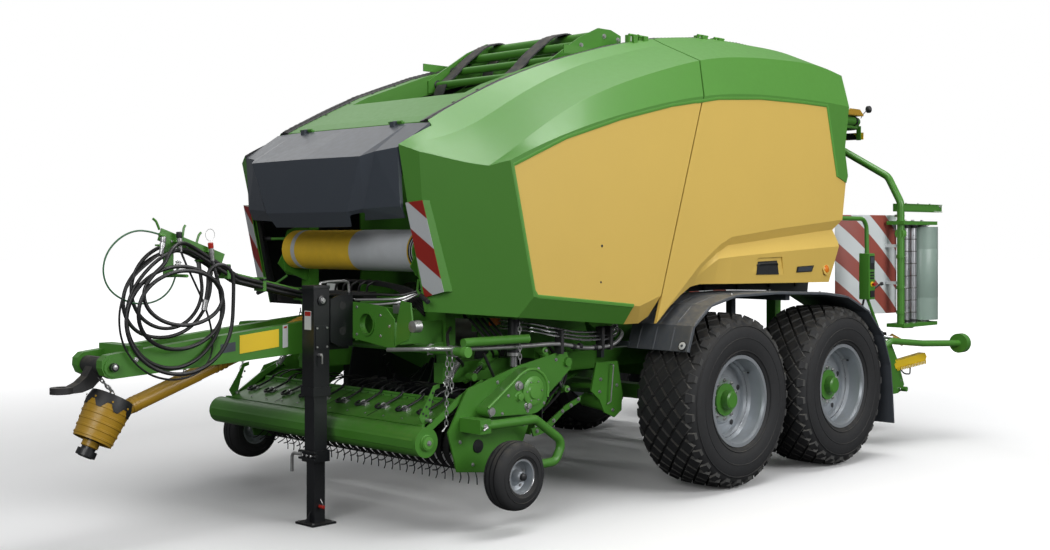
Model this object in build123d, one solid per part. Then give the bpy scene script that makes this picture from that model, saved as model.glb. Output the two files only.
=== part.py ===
"""A trailed round baler with a bale wrapper behind it, standing on its jack and four wheels.

Frame: +X is the machine's left side, -Y is the way it is pulled, +Z is up.
The origin is on the ground, in the middle of the machine's length and width.  Millimetres.
"""
from build123d import *
import math
import os

os.makedirs("parts", exist_ok=True)

# ---------------------------------------------------------------- driving dimensions
# wheels
WHEEL_X = 1235            # middle of a main tyre, from the centre line
WHEEL_R = 585             # main tyre, outside
TYRE_W = 495
RIM_R = 286               # bead seat
RIM_FLANGE_R = 305
RIM_FLANGE_X = 216
AXLE_Y = (430, 1700)      # front and rear axle of the tandem
AXLE_TUBE = 100
STUB_R = 40
GAUGE_WHEEL = (1311, -1550, 327)
GAUGE_R = 197
GAUGE_W = 150

# hoods
HOOD_X = 1300             # flat outer side
HOOD_IN_X = 740           # inner edge, beside the roof
HOOD_BOTTOM = 1000        # well below the lowest skirt
HOOD_WALL = 25
RIM_STEP = 6              # how far the side insert lies below its rim
INSERT_GAP = 0.3
# stations along the machine: y, then height at the side crease, bevel crease, top crease, inner edge
HOOD_STATIONS = (
    (-2100, 1885, 1885, 2026, 2155),
    (-1600, 2095, 2100, 2285, 2412),
    (-1100, 2286, 2386, 2523, 2642),
    (-600, 2431, 2601, 2745, 2817),
    (-100, 2546, 2753, 2894, 2955),
    (400, 2627, 2873, 3012, 3060),
    (900, 2664, 2932, 3078, 3118),
    (1400, 2672, 2955, 3100, 3130),
    (1900, 2665, 2940, 3085, 3112),
    (2400, 2645, 2900, 3045, 3070),
)
BEVEL_X = 1200            # where the bevel crease runs
SLOPE_X = 850             # where the top crease runs
SEAM_GAP = 12
HATCH_Y = 387             # tailgate pivot; the seam between front and rear passes through it
HATCH_Z = 3060
HINGE_PIN_R = 20
SEAM_LEAN = 0.3366        # the seam's run backwards for each unit upwards
KNUCKLE_R = 8
PIN_R = 5
LEAF_DROP = 60            # how far a hinge leaf reaches down into the hood's edge
REAR_HINGE_Z = 3139
NOSE_PIVOT = (-1700, 2366)
NOSE_KNUCKLES = (-450, 450)
NOSE_X = 765              # half the width of the front hood
NOSE_GAP = 10
ROOF_X = 695
RAIL_GAP_X = (701, 735)   # the beams beside the roof that carry the side hoods
ROOF_DROP = 8
ROOF_HOLE_X = 560
CURB = 130                # how deep the roof opening's side walls are
ROOF_T = 20

# chamber and frame
CHAMBER_X = 600           # inside of the side walls
WALL = 12
CHAMBER_Y = 150
CHAMBER_Z = 1725
CHAMBER_R = 760
RAIL_X = (640, 720)
RAIL_Z = (800, 920)
RAIL_Y = (-1560, 2400)
LOW_RAIL_Z = (400, 480)
LOW_RAIL_END = 3640

PICKUP_PIN_R = 28
TABLE_PIN_R = 20
DISC_ARM_END = (1405, 3600, 786)
CUP_R = 80
CUP_END_Y = 3658
RAIL_BRACKETS = ((-1100, -1000), (-300, -200))

# drawbar
BAR_X = (105, 165)
EYE_Y = -3600
EYE_PIN = (-3396, 988)
EYE_Z = 868
EYE_R = 25
EYE_RING_R = 58
EYE_T = 34

# jack
JACK_X = 300
JACK_Y = -2180
RUN = 0.5                 # running gap around the sliding leg
JACK_LEG = 76
JACK_WALL = 7.5             # of the tube the leg slides in
JACK_TUBE = JACK_LEG + 2 * (JACK_WALL + RUN)
JACK_SLEEVE = JACK_TUBE + 20
SEAT = 0.3                # gap between pieces that carry each other and turn

# pickup
PICKUP_PIVOT = (-800, 900)
REEL = (-1560, 462)
REEL_TIP_R = 222
BAND_R = 150
PICKUP_X = 1010
TINE_PITCH = 70
TINE_ROWS = 5
GUARD_ROLL = (-1970, 528)
GUARD_ROLL_R = 84
GUARD_PIVOT = (-1480, 800)
ROTOR = (-1010, 640)
ROTOR_R = 250

# wrapper
SPIN_Y = 3150             # the arms turn about this upright axis
ARM_OFFSET = 190
ARM_R = 30
ARM_REACH = 1225
ARM_TOP = 2425
ARM_FOOT = 945
ROLL_R = 130
ROLL_Z = (985, 1757)
GANTRY_X = 710
GANTRY_Z = 2650
GANTRY_END = 3235
POST_X = (652, 732)
POST_Y = (1900, 1980)
TABLE_Z = 700
TABLE_ROLL_R = 75
STUB_SHAFT_R = 15
TABLE_Y = (2760, 3540)
TABLE_PIVOT = (3560, 560)
LIFT_PIVOT = (2250, 860)
LIFT_TIP_Y = 1500


# ---------------------------------------------------------------- helpers
def block(x, y, z):
    """A box between pairs of limits."""
    size = (x[1] - x[0], y[1] - y[0], z[1] - z[0])
    return Pos((x[0] + x[1]) / 2, (y[0] + y[1]) / 2, (z[0] + z[1]) / 2) * Box(*size)


def rod(start, end, radius):
    """A round bar between two points."""
    way = Vector(end) - Vector(start)
    return extrude(Plane(origin=start, z_dir=way) * Circle(radius), way.length)


def tube(start, end, radius, wall):
    """A hollow round bar, open at both ends."""
    way = Vector(end) - Vector(start)
    ring = Circle(radius) - Circle(radius - wall)
    return extrude(Plane(origin=start, z_dir=way) * ring, way.length)


def rod_x(y, z, radius, x):
    """A round bar across the machine, between two X."""
    return rod((x[0], y, z), (x[1], y, z), radius)


def plate_x(points, x):
    """A plate from its outline in (Y, Z), between two X."""
    face = make_face(Polyline(*points, close=True))
    return extrude(Plane.YZ.offset(x[0]) * face, x[1] - x[0])


def plate_y(points, y):
    """A plate from its outline in (X, Z), between two Y."""
    face = make_face(Polyline(*points, close=True))
    return extrude(Plane.XZ.offset(-y[1]) * face, y[1] - y[0])


def plate_z(points, z):
    """A plate from its outline in (X, Y), between two Z."""
    face = make_face(Polyline(*points, close=True))
    return extrude(Plane.XY.offset(z[0]) * face, z[1] - z[0])


def beam(start, end, width, height, wall=0):
    """A straight box section between two points; height is measured nearly upright."""
    way = Vector(end) - Vector(start)
    side = way.cross(Vector(0, 0, 1))
    if side.length < 1e-6:
        side = Vector(1, 0, 0)
    section = Rectangle(width, height)
    if wall:
        section -= Rectangle(width - 2 * wall, height - 2 * wall)
    return extrude(Plane(origin=start, x_dir=side, z_dir=way) * section, way.length)


def pipe(points, radius, bend, wall=0):
    """A bent tube through points, with rounded corners."""
    path = FilletPolyline(*points, radius=bend)
    way = Vector(points[1]) - Vector(points[0])
    section = Circle(radius)
    if wall:
        section -= Circle(radius - wall)
    return sweep(Plane(origin=points[0], z_dir=way) * section, path)


def turned_x(points, y, z):
    """A revolved piece about an axis across the machine; points are (X, radius)."""
    face = make_face(Polyline(*[(x, r) for x, r in points], close=True))
    return Pos(0, y, z) * revolve(face, Axis.X)


def other_side(shape):
    """The same piece on the machine's right side."""
    return mirror(shape, about=Plane.YZ)


def both(shape):
    """A piece and its twin on the other side."""
    return [shape, other_side(shape)]


def solids_of(shapes):
    """Every solid in a mixed list of shapes."""
    return [solid for shape in shapes for solid in shape.solids()]


def save(name, *shapes):
    """Write one sub-part."""
    export_step(Compound(solids_of(shapes)), f"parts/{name}.step")


# ---------------------------------------------------------------- main wheels
def tyre(x, y):
    """A hollow flotation tyre seated on its rim."""
    half = TYRE_W / 2
    bead = RIM_R + 0.3
    outside = [
        (-202.7, bead), (-202.7, RIM_FLANGE_R + 1), (-218, RIM_FLANGE_R + 8), (-half + 4, RIM_R + 90),
        (-half, 430), (-half + 12, 500),
        (-half + 40, WHEEL_R - 22), (-half + 75, WHEEL_R - 4), (0, WHEEL_R),
    ]
    inside = [(-180, bead), (-190, RIM_R + 40), (-half + 34, 430), (-half + 70, WHEEL_R - 50),
        (0, WHEEL_R - 42)]
    ring = outside + [(-x0, r) for x0, r in reversed(outside[:-1])]
    ring += [(-x0, r) for x0, r in inside[:-1]] + list(reversed(inside))
    return Pos(x, 0, 0) * turned_x(ring, y, WHEEL_R)


def rim(x, y):
    """A dished rim and, in its middle, the hub that carries it."""
    side = 1 if x > 0 else -1
    profile = [
        (-RIM_FLANGE_X, RIM_FLANGE_R), (-203, RIM_FLANGE_R), (-203, RIM_R), (-150, RIM_R - 2),
        (-120, 255), (60, 255),
        (100, RIM_R - 2), (203, RIM_R), (203, RIM_FLANGE_R), (RIM_FLANGE_X, RIM_FLANGE_R),
        (RIM_FLANGE_X, 282),
        (196, 276), (108, 274), (68, 246), (45, 240), (60, 170), (85, 150), (85, 71), (75, 71), (75, 145),
        (50, 162),
        (10, 246), (-115, 246), (-146, 275), (-196, 277), (-RIM_FLANGE_X, 282),
    ]
    hub = [
        (-75, 70), (85, 70), (85, 108), (100, 108), (104, 66), (150, 60), (158, 48), (158, 0), (60, 0),
        (60, STUB_R + 0.5), (-75, STUB_R + 0.5),
    ]
    pieces = [turned_x([(side * px, r) for px, r in part], y, WHEEL_R) for part in (profile, hub)]
    return [Pos(x, 0, 0) * piece for piece in pieces]


for end, wheel_y in zip(("front", "rear"), AXLE_Y):
    for side_name, wheel_x in (("left", WHEEL_X), ("right", -WHEEL_X)):
        save(f"tyre_{end}_{side_name}", tyre(wheel_x, wheel_y))
        save(f"rim_{end}_{side_name}", *rim(wheel_x, wheel_y))

# ---------------------------------------------------------------- tandem axles and walking beams
stub_end = WHEEL_X + 55
beam_x = (760, 850)
pivot_y = sum(AXLE_Y) / 2
axle_set = []
for wheel_y in AXLE_Y:
    half = AXLE_TUBE / 2
    bar = block((-1085, 1085), (wheel_y - half, wheel_y + half), (WHEEL_R - half, WHEEL_R + half))
    bar += rod_x(wheel_y, WHEEL_R, STUB_R, (-stub_end, stub_end))
    for s in (-1, 1):
        bar += rod_x(wheel_y, WHEEL_R, 150, sorted((s * 1085, s * 1155)))
    axle_set.append(bar)

rise = WHEEL_R + AXLE_TUBE / 2
outline = [
    (AXLE_Y[0] - 90, rise), (AXLE_Y[0] + 90, rise), (pivot_y - 150, rise + 30), (pivot_y + 150, rise + 30),
    (AXLE_Y[1] - 90, rise), (AXLE_Y[1] + 90, rise), (AXLE_Y[1] + 60, rise + 60), (pivot_y + 120, rise + 150),
    (pivot_y - 120, rise + 150), (AXLE_Y[0] - 60, rise + 60),
]
save("axles", *axle_set, *both(plate_x(outline, beam_x)))

# ---------------------------------------------------------------- main frame
frame = []
for s in (-1, 1):
    rail_x = sorted((s * RAIL_X[0], s * RAIL_X[1]))
    frame.append(block(rail_x, RAIL_Y, RAIL_Z))
    for bracket_y in RAIL_BRACKETS:
        frame.append(block(sorted((s * (CHAMBER_X + WALL), s * RAIL_X[0])), bracket_y, RAIL_Z))
    hanger = [
        (pivot_y - 230, RAIL_Z[0]), (pivot_y + 230, RAIL_Z[0]), (pivot_y + 60, rise + 45),
        (pivot_y - 60, rise + 45),
    ]
    frame.append(plate_x(hanger, sorted((s * 690, s * 720))))
    pin_z = rise + 95
    frame.append(rod_x(pivot_y, pin_z, 38, sorted((s * 720, s * beam_x[0]))))
    pin_y, pin_z = PICKUP_PIVOT
    frame.append(rod_x(pin_y, pin_z, PICKUP_PIN_R, sorted((s * RAIL_X[1], s * (PICKUP_X + 30)))))
    frame.append(rod_x(pin_y, pin_z, 45, sorted((s * RAIL_X[1], s * (PICKUP_X - 20)))))
    frame.append(block(rail_x, (2310, 2400), (LOW_RAIL_Z[0], RAIL_Z[0])))
    frame.append(block(rail_x, (2400, LOW_RAIL_END), LOW_RAIL_Z))
    frame.append(plate_x([(TABLE_PIVOT[0] - 60, LOW_RAIL_Z[1]), (TABLE_PIVOT[0] + 60, LOW_RAIL_Z[1]),
                          (TABLE_PIVOT[0] + 35, TABLE_PIVOT[1] + 40),
                          (TABLE_PIVOT[0] - 35, TABLE_PIVOT[1] + 40)],
                         sorted((s * 660, s * 680))))
    frame.append(rod_x(*TABLE_PIVOT, TABLE_PIN_R, sorted((s * 600, s * 680))))
    side_arm = block(sorted((s * RAIL_X[1], s * 1190)), (2700, 2780), (410, 470))
    cutter = [(2640, 840), (2800, 840), (2880, 740), (3040, 430), (2950, 405), (2700, 405), (2700, 700)]
    frame.append(side_arm + plate_x(cutter, sorted((s * 1190, s * 1202))))
    frame.append(rod_x(2995, 440, 20, sorted((s * 1100, s * 1260))))
    arm_end = (s * DISC_ARM_END[0], DISC_ARM_END[1], DISC_ARM_END[2])
    frame.append(pipe([(s * 1230, 2690, 800), (s * 1250, 2760, 842), (s * 1290, 3200, 800), arm_end], 26, 60))
    frame.append(rod_x(2690, 800, 30, sorted((s * 1190, s * 1240))))
    cup = rod((arm_end[0], arm_end[1] - 12, arm_end[2]), (arm_end[0], CUP_END_Y, arm_end[2]), CUP_R)
    frame.append(cup - rod((arm_end[0], arm_end[1] + 2, arm_end[2]),
        (arm_end[0], CUP_END_Y + 1, arm_end[2]), CUP_R - 8))
for s in (-1, 1):
    frame.append(rod_x(*LIFT_PIVOT, 20, sorted((s * 560, s * RAIL_X[0]))))
for cross_y in (1350, 2355):
    frame.append(block((-RAIL_X[0], RAIL_X[0]), (cross_y - 50, cross_y + 50),
        (RAIL_Z[0] + 10, RAIL_Z[1] - 10)))
main_frame = frame[0]
for piece in frame[1:]:
    main_frame += piece
save("main_frame", main_frame)


# ---------------------------------------------------------------- bale chamber, fixed front half
def seam_y(z, shift=0.0):
    """Where the seam between front and rear lies at a height."""
    return HATCH_Y + (z - HATCH_Z) * SEAM_LEAN + shift


front_wall = [
    (-1150, 480), (-1240, 700), (-1180, 1000), (-1120, 1500), (-1150, 2050), (-760, 2480), (-200, 2760),
    (seam_y(2900, -8), 2900), (seam_y(1230, -8), 1230), (-150, 1020), (100, 915), (100, 860), (-500, 700),
    (-760, 420),
]
hinge_ear = [(240, 2880), (323, 2880), (350, 2975), (362, 3000), (387, 3022), (349, 3060), (343, 3040),
    (341, 3019),
             (290, 3008)]
front_wall = plate_x(front_wall, (CHAMBER_X, CHAMBER_X + WALL)) + plate_x(hinge_ear, (CHAMBER_X,
    CHAMBER_X + WALL))
front_wall += rod_x(HATCH_Y, HATCH_Z, 38, (CHAMBER_X, CHAMBER_X + WALL))
front_wall += rod_x(HATCH_Y, HATCH_Z, HINGE_PIN_R, (CHAMBER_X, CHAMBER_X + 2 * WALL + 6))
walls = both(front_wall)

# rollers at the front of the chamber, and the plate under them
rollers = []
for roll_y, roll_z in ((-560, 1010), (-690, 1260), (-700, 1560), (-560, 2300), (-120, 2600), (-900, 2200)):
    rollers.append(rod_x(roll_y, roll_z, 95, (-CHAMBER_X, CHAMBER_X)))
save("chamber_rollers", *rollers)

floor = plate_x([(-700, 400), (-690, 392), (-420, 690), (90, 870), (90, 880), (-425, 700)],
                (-CHAMBER_X, CHAMBER_X))
save("chamber_walls", *walls, floor)

# ---------------------------------------------------------------- front frame and cross tube
uprights = []
for s in (-1, 1):
    post_x = sorted((s * RAIL_X[0], s * RAIL_X[1]))
    uprights.append(block(post_x, (-1540, -1460), (RAIL_Z[1], 2300)))
front_frame = uprights[0] + uprights[1]
front_frame += block((-RAIL_X[0], RAIL_X[0]), (-1540, -1460), (2220, 2300))
front_frame += block((-RAIL_X[0], RAIL_X[0]), (-1540, -1440), (1130, 1230))

CROSS_TUBE = (-1760, 1025)
cross = rod_x(*CROSS_TUBE, 26, (-1150, 1150))
for s in (-1, 1):
    cross += block(sorted((s * 655, s * 705)), (-1760, -1540), (1000, 1050))
front_frame += cross

# ---------------------------------------------------------------- drawbar
bar_outline = [(-3458, 985), (-3455, 1025), (-3425, 1052), (-3380, 1058), (-2150, 1175), (-1540, 1225),
    (-1540, 1130),
               (-2150, 990), (-3400, 925), (-3440, 945)]
drawbar = plate_x(bar_outline, BAR_X) + plate_x(bar_outline, (-BAR_X[1], -BAR_X[0]))
drawbar += block((-BAR_X[1], BAR_X[1]), (-3300, -3220), (985, 1095))
drawbar += block((-BAR_X[1], BAR_X[1]), (-1700, -1620), (1125, 1190))
pin = rod_x(*EYE_PIN, 22, (-195, 195))
save("drawbar", drawbar - rod_x(*EYE_PIN, 22.3, (-200, 200)), pin)

eye_path = [(-3370, 1030), (-3415, 1034), (-3445, 985), (-3475, 935), (-3515, 903),
    (-3555, EYE_Z + EYE_T / 2),
            (-3555, EYE_Z - EYE_T / 2), (-3500, 853), (-3440, 872), (-3395, 915), (-3365, 960)]
shank = plate_x(eye_path, (-38, 38))
ring = Pos(0, EYE_Y, EYE_Z) * Cylinder(EYE_RING_R, EYE_T)
eye = shank + ring + rod_x(*EYE_PIN, 48, (-104.7, 104.7))
eye -= Pos(0, EYE_Y, EYE_Z) * Cylinder(EYE_R, EYE_T + 2)
eye -= rod_x(*EYE_PIN, 22.3, (-110, 110))
save("tow_eye", eye)

# ---------------------------------------------------------------- jack
half = JACK_SLEEVE / 2
sleeve = block((JACK_X - half, JACK_X + half), (JACK_Y - half, JACK_Y + half), (780, 1382))
mid = JACK_TUBE / 2
sleeve += block((JACK_X - mid, JACK_X + mid), (JACK_Y - mid, JACK_Y + mid), (365, 780))
for collar, heights in ((mid + 16, (750, 800)), (mid + 12, (365, 430))):
    sleeve += block((JACK_X - collar, JACK_X + collar), (JACK_Y - collar, JACK_Y + collar), heights)
sleeve += block((JACK_X - 8, JACK_X + 8), (JACK_Y + half, -1945), (1010, 1190))
sleeve += block((BAR_X[1], JACK_X + 8), (-1960, -1945), (1010, 1190))
clear = JACK_LEG / 2 + RUN
sleeve -= block((JACK_X - clear, JACK_X + clear), (JACK_Y - clear, JACK_Y + clear), (300, 1360))
save("jack_sleeve", sleeve)

half = JACK_LEG / 2
leg = block((JACK_X - half, JACK_X + half), (JACK_Y - half, JACK_Y + half), (12, 900))
leg += plate_z([(JACK_X - 85, JACK_Y - 85), (JACK_X + 85, JACK_Y - 85), (JACK_X + 85, JACK_Y + 85),
                (JACK_X - 85, JACK_Y + 85)], (0, 12))
leg += plate_x([(JACK_Y - 80, 12), (JACK_Y - half, 12), (JACK_Y - half, 75)], (JACK_X - 5, JACK_X + 5))
leg += rod_x(JACK_Y, 105, 9, (JACK_X + half, JACK_X + half + 25))
save("jack_leg", leg)

# ---------------------------------------------------------------- drive from the tractor
PTO_GEAR = (0, -2020, 1165)
gearbox = block((-BAR_X[0], BAR_X[0]), (-1950, -1725), (1080, 1260))
gearbox += rod(PTO_GEAR, (0, -1940, 1165), 54)
gearbox = fillet(gearbox.edges().filter_by(Axis.Z), 18)
save("gearbox", gearbox)

PTO_END = (0, -2034, 1160.2)
PTO_MID = (0, -3225, 745)
BELL_TOP = Vector(0, -3318, 790)
cone_way = Vector(0, -0.47, -0.883).normalized()


def along(distance):
    """A point on the axis of the joint at the front of the drive shaft."""
    return tuple(BELL_TOP + cone_way * distance)


def bell_part(start_radius, end_radius, start, end):
    """A part of the bell between two distances along its axis."""
    plane = Plane(origin=along(start), z_dir=tuple(cone_way))
    return Solid.make_cone(start_radius, end_radius, end - start, plane)


guard = rod(PTO_MID, PTO_END, 42) + bell_part(112, 124, -22, 30) + bell_part(124, 106, 30, 232)
guard -= bell_part(112, 98, 16, 240)
save("pto_guard", guard)

YOKE_R = 17.5
yoke = rod(along(16.3), along(322), 38) + rod(along(60), along(200), 62) + rod(along(284), along(318), 54)
yoke -= rod(along(240), along(323), YOKE_R)
save("pto_yoke", yoke)

# ---------------------------------------------------------------- net roll and its cradle
NET = (-1640, 1592)
NET_R = 125
save("net_roll", rod_x(*NET, NET_R, (-630, 630)) - rod_x(*NET, 30, (-640, 640)))
cradle = rod_x(*NET, 30 - SEAT, (-665, 665))
for s in (-1, 1):
    end_plate = [(-1720, 1450), (-1540, 1380), (-1540, 1760), (-1700, 1720), (-1745, 1600)]
    cradle += plate_x(end_plate, sorted((s * 650, s * 662)))
    cradle += block(sorted((s * 650, s * 690)), (-1545, -1530), (1450, 1700))
save("front_frame", front_frame, cradle)


# ---------------------------------------------------------------- side hoods
def hood_loft(side, top, inner):
    """The closed form of a side hood; side and top are how far it is drawn in from the outer surface."""
    sections = []
    for y, z_side, z_bevel, z_slope, z_inner in HOOD_STATIONS:
        outline = [
            (inner, HOOD_BOTTOM), (HOOD_X - side, HOOD_BOTTOM), (HOOD_X - side, z_side - top),
            (BEVEL_X - side * 0.6, z_bevel - top), (SLOPE_X, z_slope - top), (inner, z_inner - top),
        ]
        face = make_face(Polyline(*outline, close=True))
        sections.append(Plane.XZ.offset(-y) * face)
    return loft(sections)


def keep(shape, origin, normal):
    """What lies on the side of a plane that its normal points away from."""
    return split(shape, Plane(origin=origin, z_dir=normal), keep=Keep.BOTTOM)


def shift(point, normal, distance):
    """A point moved along a direction."""
    return tuple(Vector(point) + Vector(normal).normalized() * distance)


FACET_POINT = (1300, -1570, 2110)
FACET_NORMAL = (0.314, -0.406, -0.099)
STRIP_POINT = (900, -1884, 2110)
STRIP_NORMAL = (0.17, -0.44, -0.09)
SKIRT_POINT = (1300, -1384, 1330)
SKIRT_NORMAL = (0.80, -0.055, -0.58)
CORNER_POINT = (1300, -151, 1316)
CORNER_NORMAL = (0.836, 0.135, -0.478)
SEAM_NORMAL = (0, 1, -SEAM_LEAN)


def trim_skirt(shape, inset):
    """Cut the two facets that turn the front hood's lower edge inwards."""
    shape = keep(shape, shift(SKIRT_POINT, SKIRT_NORMAL, -inset), SKIRT_NORMAL)
    return keep(shape, shift(CORNER_POINT, CORNER_NORMAL, -inset), CORNER_NORMAL)


def trim_front(shape, inset):
    """Cut the front hood's facets, skirt and seam."""
    shape = keep(shape, shift(FACET_POINT, FACET_NORMAL, -inset), FACET_NORMAL)
    shape = keep(shape, shift(STRIP_POINT, STRIP_NORMAL, -inset), STRIP_NORMAL)
    return trim_skirt(shape, inset)


def crease(index, low, high, drop):
    """Points along one crease, in (Y, Z), between two Y."""
    rows = [(row[0], row[index] - drop) for row in HOOD_STATIONS]

    def height(y):
        for (y0, z0), (y1, z1) in zip(rows, rows[1:]):
            if y0 <= y <= y1:
                return z0 + (z1 - z0) * (y - y0) / (y1 - y0)
        return rows[-1][1]

    inner = [(y, z) for y, z in rows if low < y < high]
    return [(low, height(low))] + inner + [(high, height(high))]


def hood_hinge(low, high, z):
    """Fixed and moving halves of a hinge along the left hood's inner edge."""
    step = (high - low) / 4
    fixed = rod((HOOD_IN_X, low, z), (HOOD_IN_X, low + step, z), KNUCKLE_R)
    fixed += rod((HOOD_IN_X, high - step, z), (HOOD_IN_X, high, z), KNUCKLE_R)
    fixed += rod((HOOD_IN_X, low, z), (HOOD_IN_X, high, z), PIN_R)
    for ends in ((low, low + step), (high - step, high)):
        fixed += block((RAIL_GAP_X[0] + 4, HOOD_IN_X - 2), ends, (z - LEAF_DROP, z))
    moving = rod((HOOD_IN_X, low + step + SEAT, z), (HOOD_IN_X, high - step - SEAT, z), KNUCKLE_R)
    moving += block((HOOD_IN_X + 2, HOOD_IN_X + 25), (low + step + SEAT, high - step - SEAT),
        (z - LEAF_DROP, z))
    moving -= rod((HOOD_IN_X, low, z), (HOOD_IN_X, high, z), PIN_R + SEAT)
    return fixed, moving


front_hinges = [hood_hinge(130, 220, HATCH_Z), hood_hinge(240, 330, HATCH_Z)]
rear_hinges = [hood_hinge(900, 1020, REAR_HINGE_Z), hood_hinge(1100, 1220, REAR_HINGE_Z)]
outer = hood_loft(0, 0, HOOD_IN_X)
inner = hood_loft(HOOD_WALL, HOOD_WALL, HOOD_IN_X - 80)
seam_point = (0, HATCH_Y, HATCH_Z)
front_bottom = plate_x([(-2300, 900), (200, 900), (200, 1400), (-212, 1190), (-342, 1126), (-486, 1126),
    (-1000, 1172),
                        (-1730, 1238), (-2300, 1240)], (600, 1400))
front_shell = trim_front(outer, 0) - trim_front(inner, HOOD_WALL) - front_bottom
front_shell = keep(front_shell, shift(seam_point, SEAM_NORMAL, -SEAM_GAP / 2), SEAM_NORMAL)
front_shell -= block((HOOD_IN_X - 10, NOSE_X + NOSE_GAP), (-2400, -1696), (900, 3300))

LOW = 1000                # below every insert
front_outline = crease(1, -1548, 222, 26) + [(seam_y(LOW, -SEAM_GAP / 2), LOW), (-486, LOW), (-486, 1250),
    (-1345, 1335),
                                             (-1372, 1362)]


def inward(outline):
    """An outline drawn in by the gap around an insert."""
    return offset(make_face(Polyline(*outline, close=True)), -INSERT_GAP, kind=Kind.INTERSECTION)


def inset_slab(face, inset):
    """A slab behind the hood's side, turned in along the skirt."""
    return trim_skirt(extrude(Plane.YZ.offset(LOW) * face, HOOD_X - inset - LOW), inset)


front_face = inward(front_outline)
front_insert = inset_slab(front_face, RIM_STEP) - inset_slab(front_face, HOOD_WALL) - front_bottom
front_insert = keep(front_insert, shift(seam_point, SEAM_NORMAL, -SEAM_GAP / 2), SEAM_NORMAL)
front_shell -= plate_x(front_outline, (LOW, HOOD_X + 1))
for fixed, moving in front_hinges:
    front_shell += moving
save("hood_front_left", front_shell)
save("hood_front_right", other_side(front_shell))
save("insert_front_left", front_insert)
save("insert_front_right", other_side(front_insert))

REAR_EDGE = [(1887, 2123), (2008, 2086), (1958, 1802), (1872, 1725), (1900, 1640), (1897, 1599), (1800, 1337),
             (262, 1360), (132, 1345), (15, 1297), (-120, 1225), (-215, 1150), (-300, 1100)]
rear_cut = [(2500, 3300), (2500, 900), (-400, 900)] + list(reversed(REAR_EDGE[1:]))
rear_cut += [(2030, 2135), (1985, 2330), (2050, 2680), (2110, 2940), (2140, 3300)]
rear_shell = outer - inner - plate_x(rear_cut, (600, 1400))
rear_shell = split(rear_shell, Plane(origin=shift(seam_point, SEAM_NORMAL, SEAM_GAP / 2), z_dir=SEAM_NORMAL),
                   keep=Keep.TOP)
rear_outline = crease(1, 150, 1745, 26) + REAR_EDGE[:1] + [(2100, 2050), (2100, LOW), (-500, LOW)]
rear_shell -= plate_x(rear_outline, (HOOD_X - HOOD_WALL - 1, HOOD_X + 1))

# the rear insert's relief: y, then X and height at the upper crease, the valley, the lower crease and the foot
FACE_X = HOOD_X - RIM_STEP
RELIEF = (
    (-320, (FACE_X, 1080), (1287, 1060), (1280, 1040), (1266, 1000)),
    (-120, (FACE_X, 1240), (1282, 1205), (1270, 1170), (1210, 1000)),
    (197, (FACE_X, 1490), (1280, 1450), (1266, 1410), (1122, 1000)),
    (417, (FACE_X, 1621), (1268, 1565), (1286, 1528), (1160, 1000)),
    (553, (FACE_X, 1674), (1262, 1617), (1297, 1538), (1220, 1000)),
    (1128, (FACE_X, 1733), (1260, 1667), (1302, 1568), (1240, 1000)),
    (1649, (FACE_X, 1777), (1260, 1711), (1302, 1593), (1240, 1000)),
    (2100, (FACE_X, 1815), (1260, 1746), (1302, 1612), (1240, 1000)),
)
INSERT_T = HOOD_WALL - RIM_STEP
relief_sections = []
for y, *points in RELIEF:
    skin = [(FACE_X, 2800)] + points
    back = [(x - INSERT_T, z) for x, z in reversed(skin)]
    relief_sections.append(Plane.XZ.offset(-y) * make_face(Polyline(*skin, *back, close=True)))
rear_insert = loft(relief_sections, ruled=True)
rear_insert = rear_insert & extrude(Plane.YZ.offset(LOW) * inward(rear_outline), 400)
rear_insert -= plate_x(rear_cut, (600, 1400))
rear_insert = split(rear_insert, Plane(origin=shift(seam_point, SEAM_NORMAL, SEAM_GAP / 2),
    z_dir=SEAM_NORMAL),
                    keep=Keep.TOP)
handle_pocket = [(768, 1401), (858, 1528), (1153, 1532), (1191, 1392)]
rear_insert -= plate_x(handle_pocket, (1284, 1320))
for fixed, moving in rear_hinges:
    rear_shell += moving
save("hood_rear_left", rear_shell)
save("hood_rear_right", other_side(rear_shell))
save("insert_rear_left", rear_insert)
save("insert_rear_right", other_side(rear_insert))

# ---------------------------------------------------------- beams beside the roof that carry the hoods
rail_line = crease(4, -500, 1290, 14)
roof_rail = plate_x(rail_line + [(y, z - 46) for y, z in reversed(rail_line)], RAIL_GAP_X)
for fixed, moving in front_hinges + rear_hinges:
    roof_rail += fixed
save("roof_rails", *both(roof_rail))

# ---------------------------------------------------------------- roof between the front hoods
roof_top = crease(4, -1690, 340, ROOF_DROP)
roof = plate_x(roof_top + [(y, z - ROOF_T) for y, z in reversed(roof_top)], (-ROOF_X, ROOF_X))
roof -= block((-ROOF_HOLE_X, ROOF_HOLE_X), (-1235, 262), (2000, 3400))
curb_top = crease(4, -1235, 262, ROOF_DROP + 2)
curb = plate_x(curb_top + [(y, z - CURB) for y, z in reversed(curb_top)], (ROOF_HOLE_X, ROOF_HOLE_X + 12))
for s in (-1, 1):
    roof += block(sorted((s * 640, s * 690)), (-1520, -1470), (2300, 2430))
for piece in both(curb) + both(block((ROOF_X - 2, RAIL_GAP_X[0]), (-480, 330), (2880, 2935))):
    roof += piece
for side in both(plate_x(rail_line[:3] + [(y, z - 20) for y, z in reversed(rail_line[:3])], (ROOF_X - 2,
    RAIL_GAP_X[0]))):
    roof += side
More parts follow.
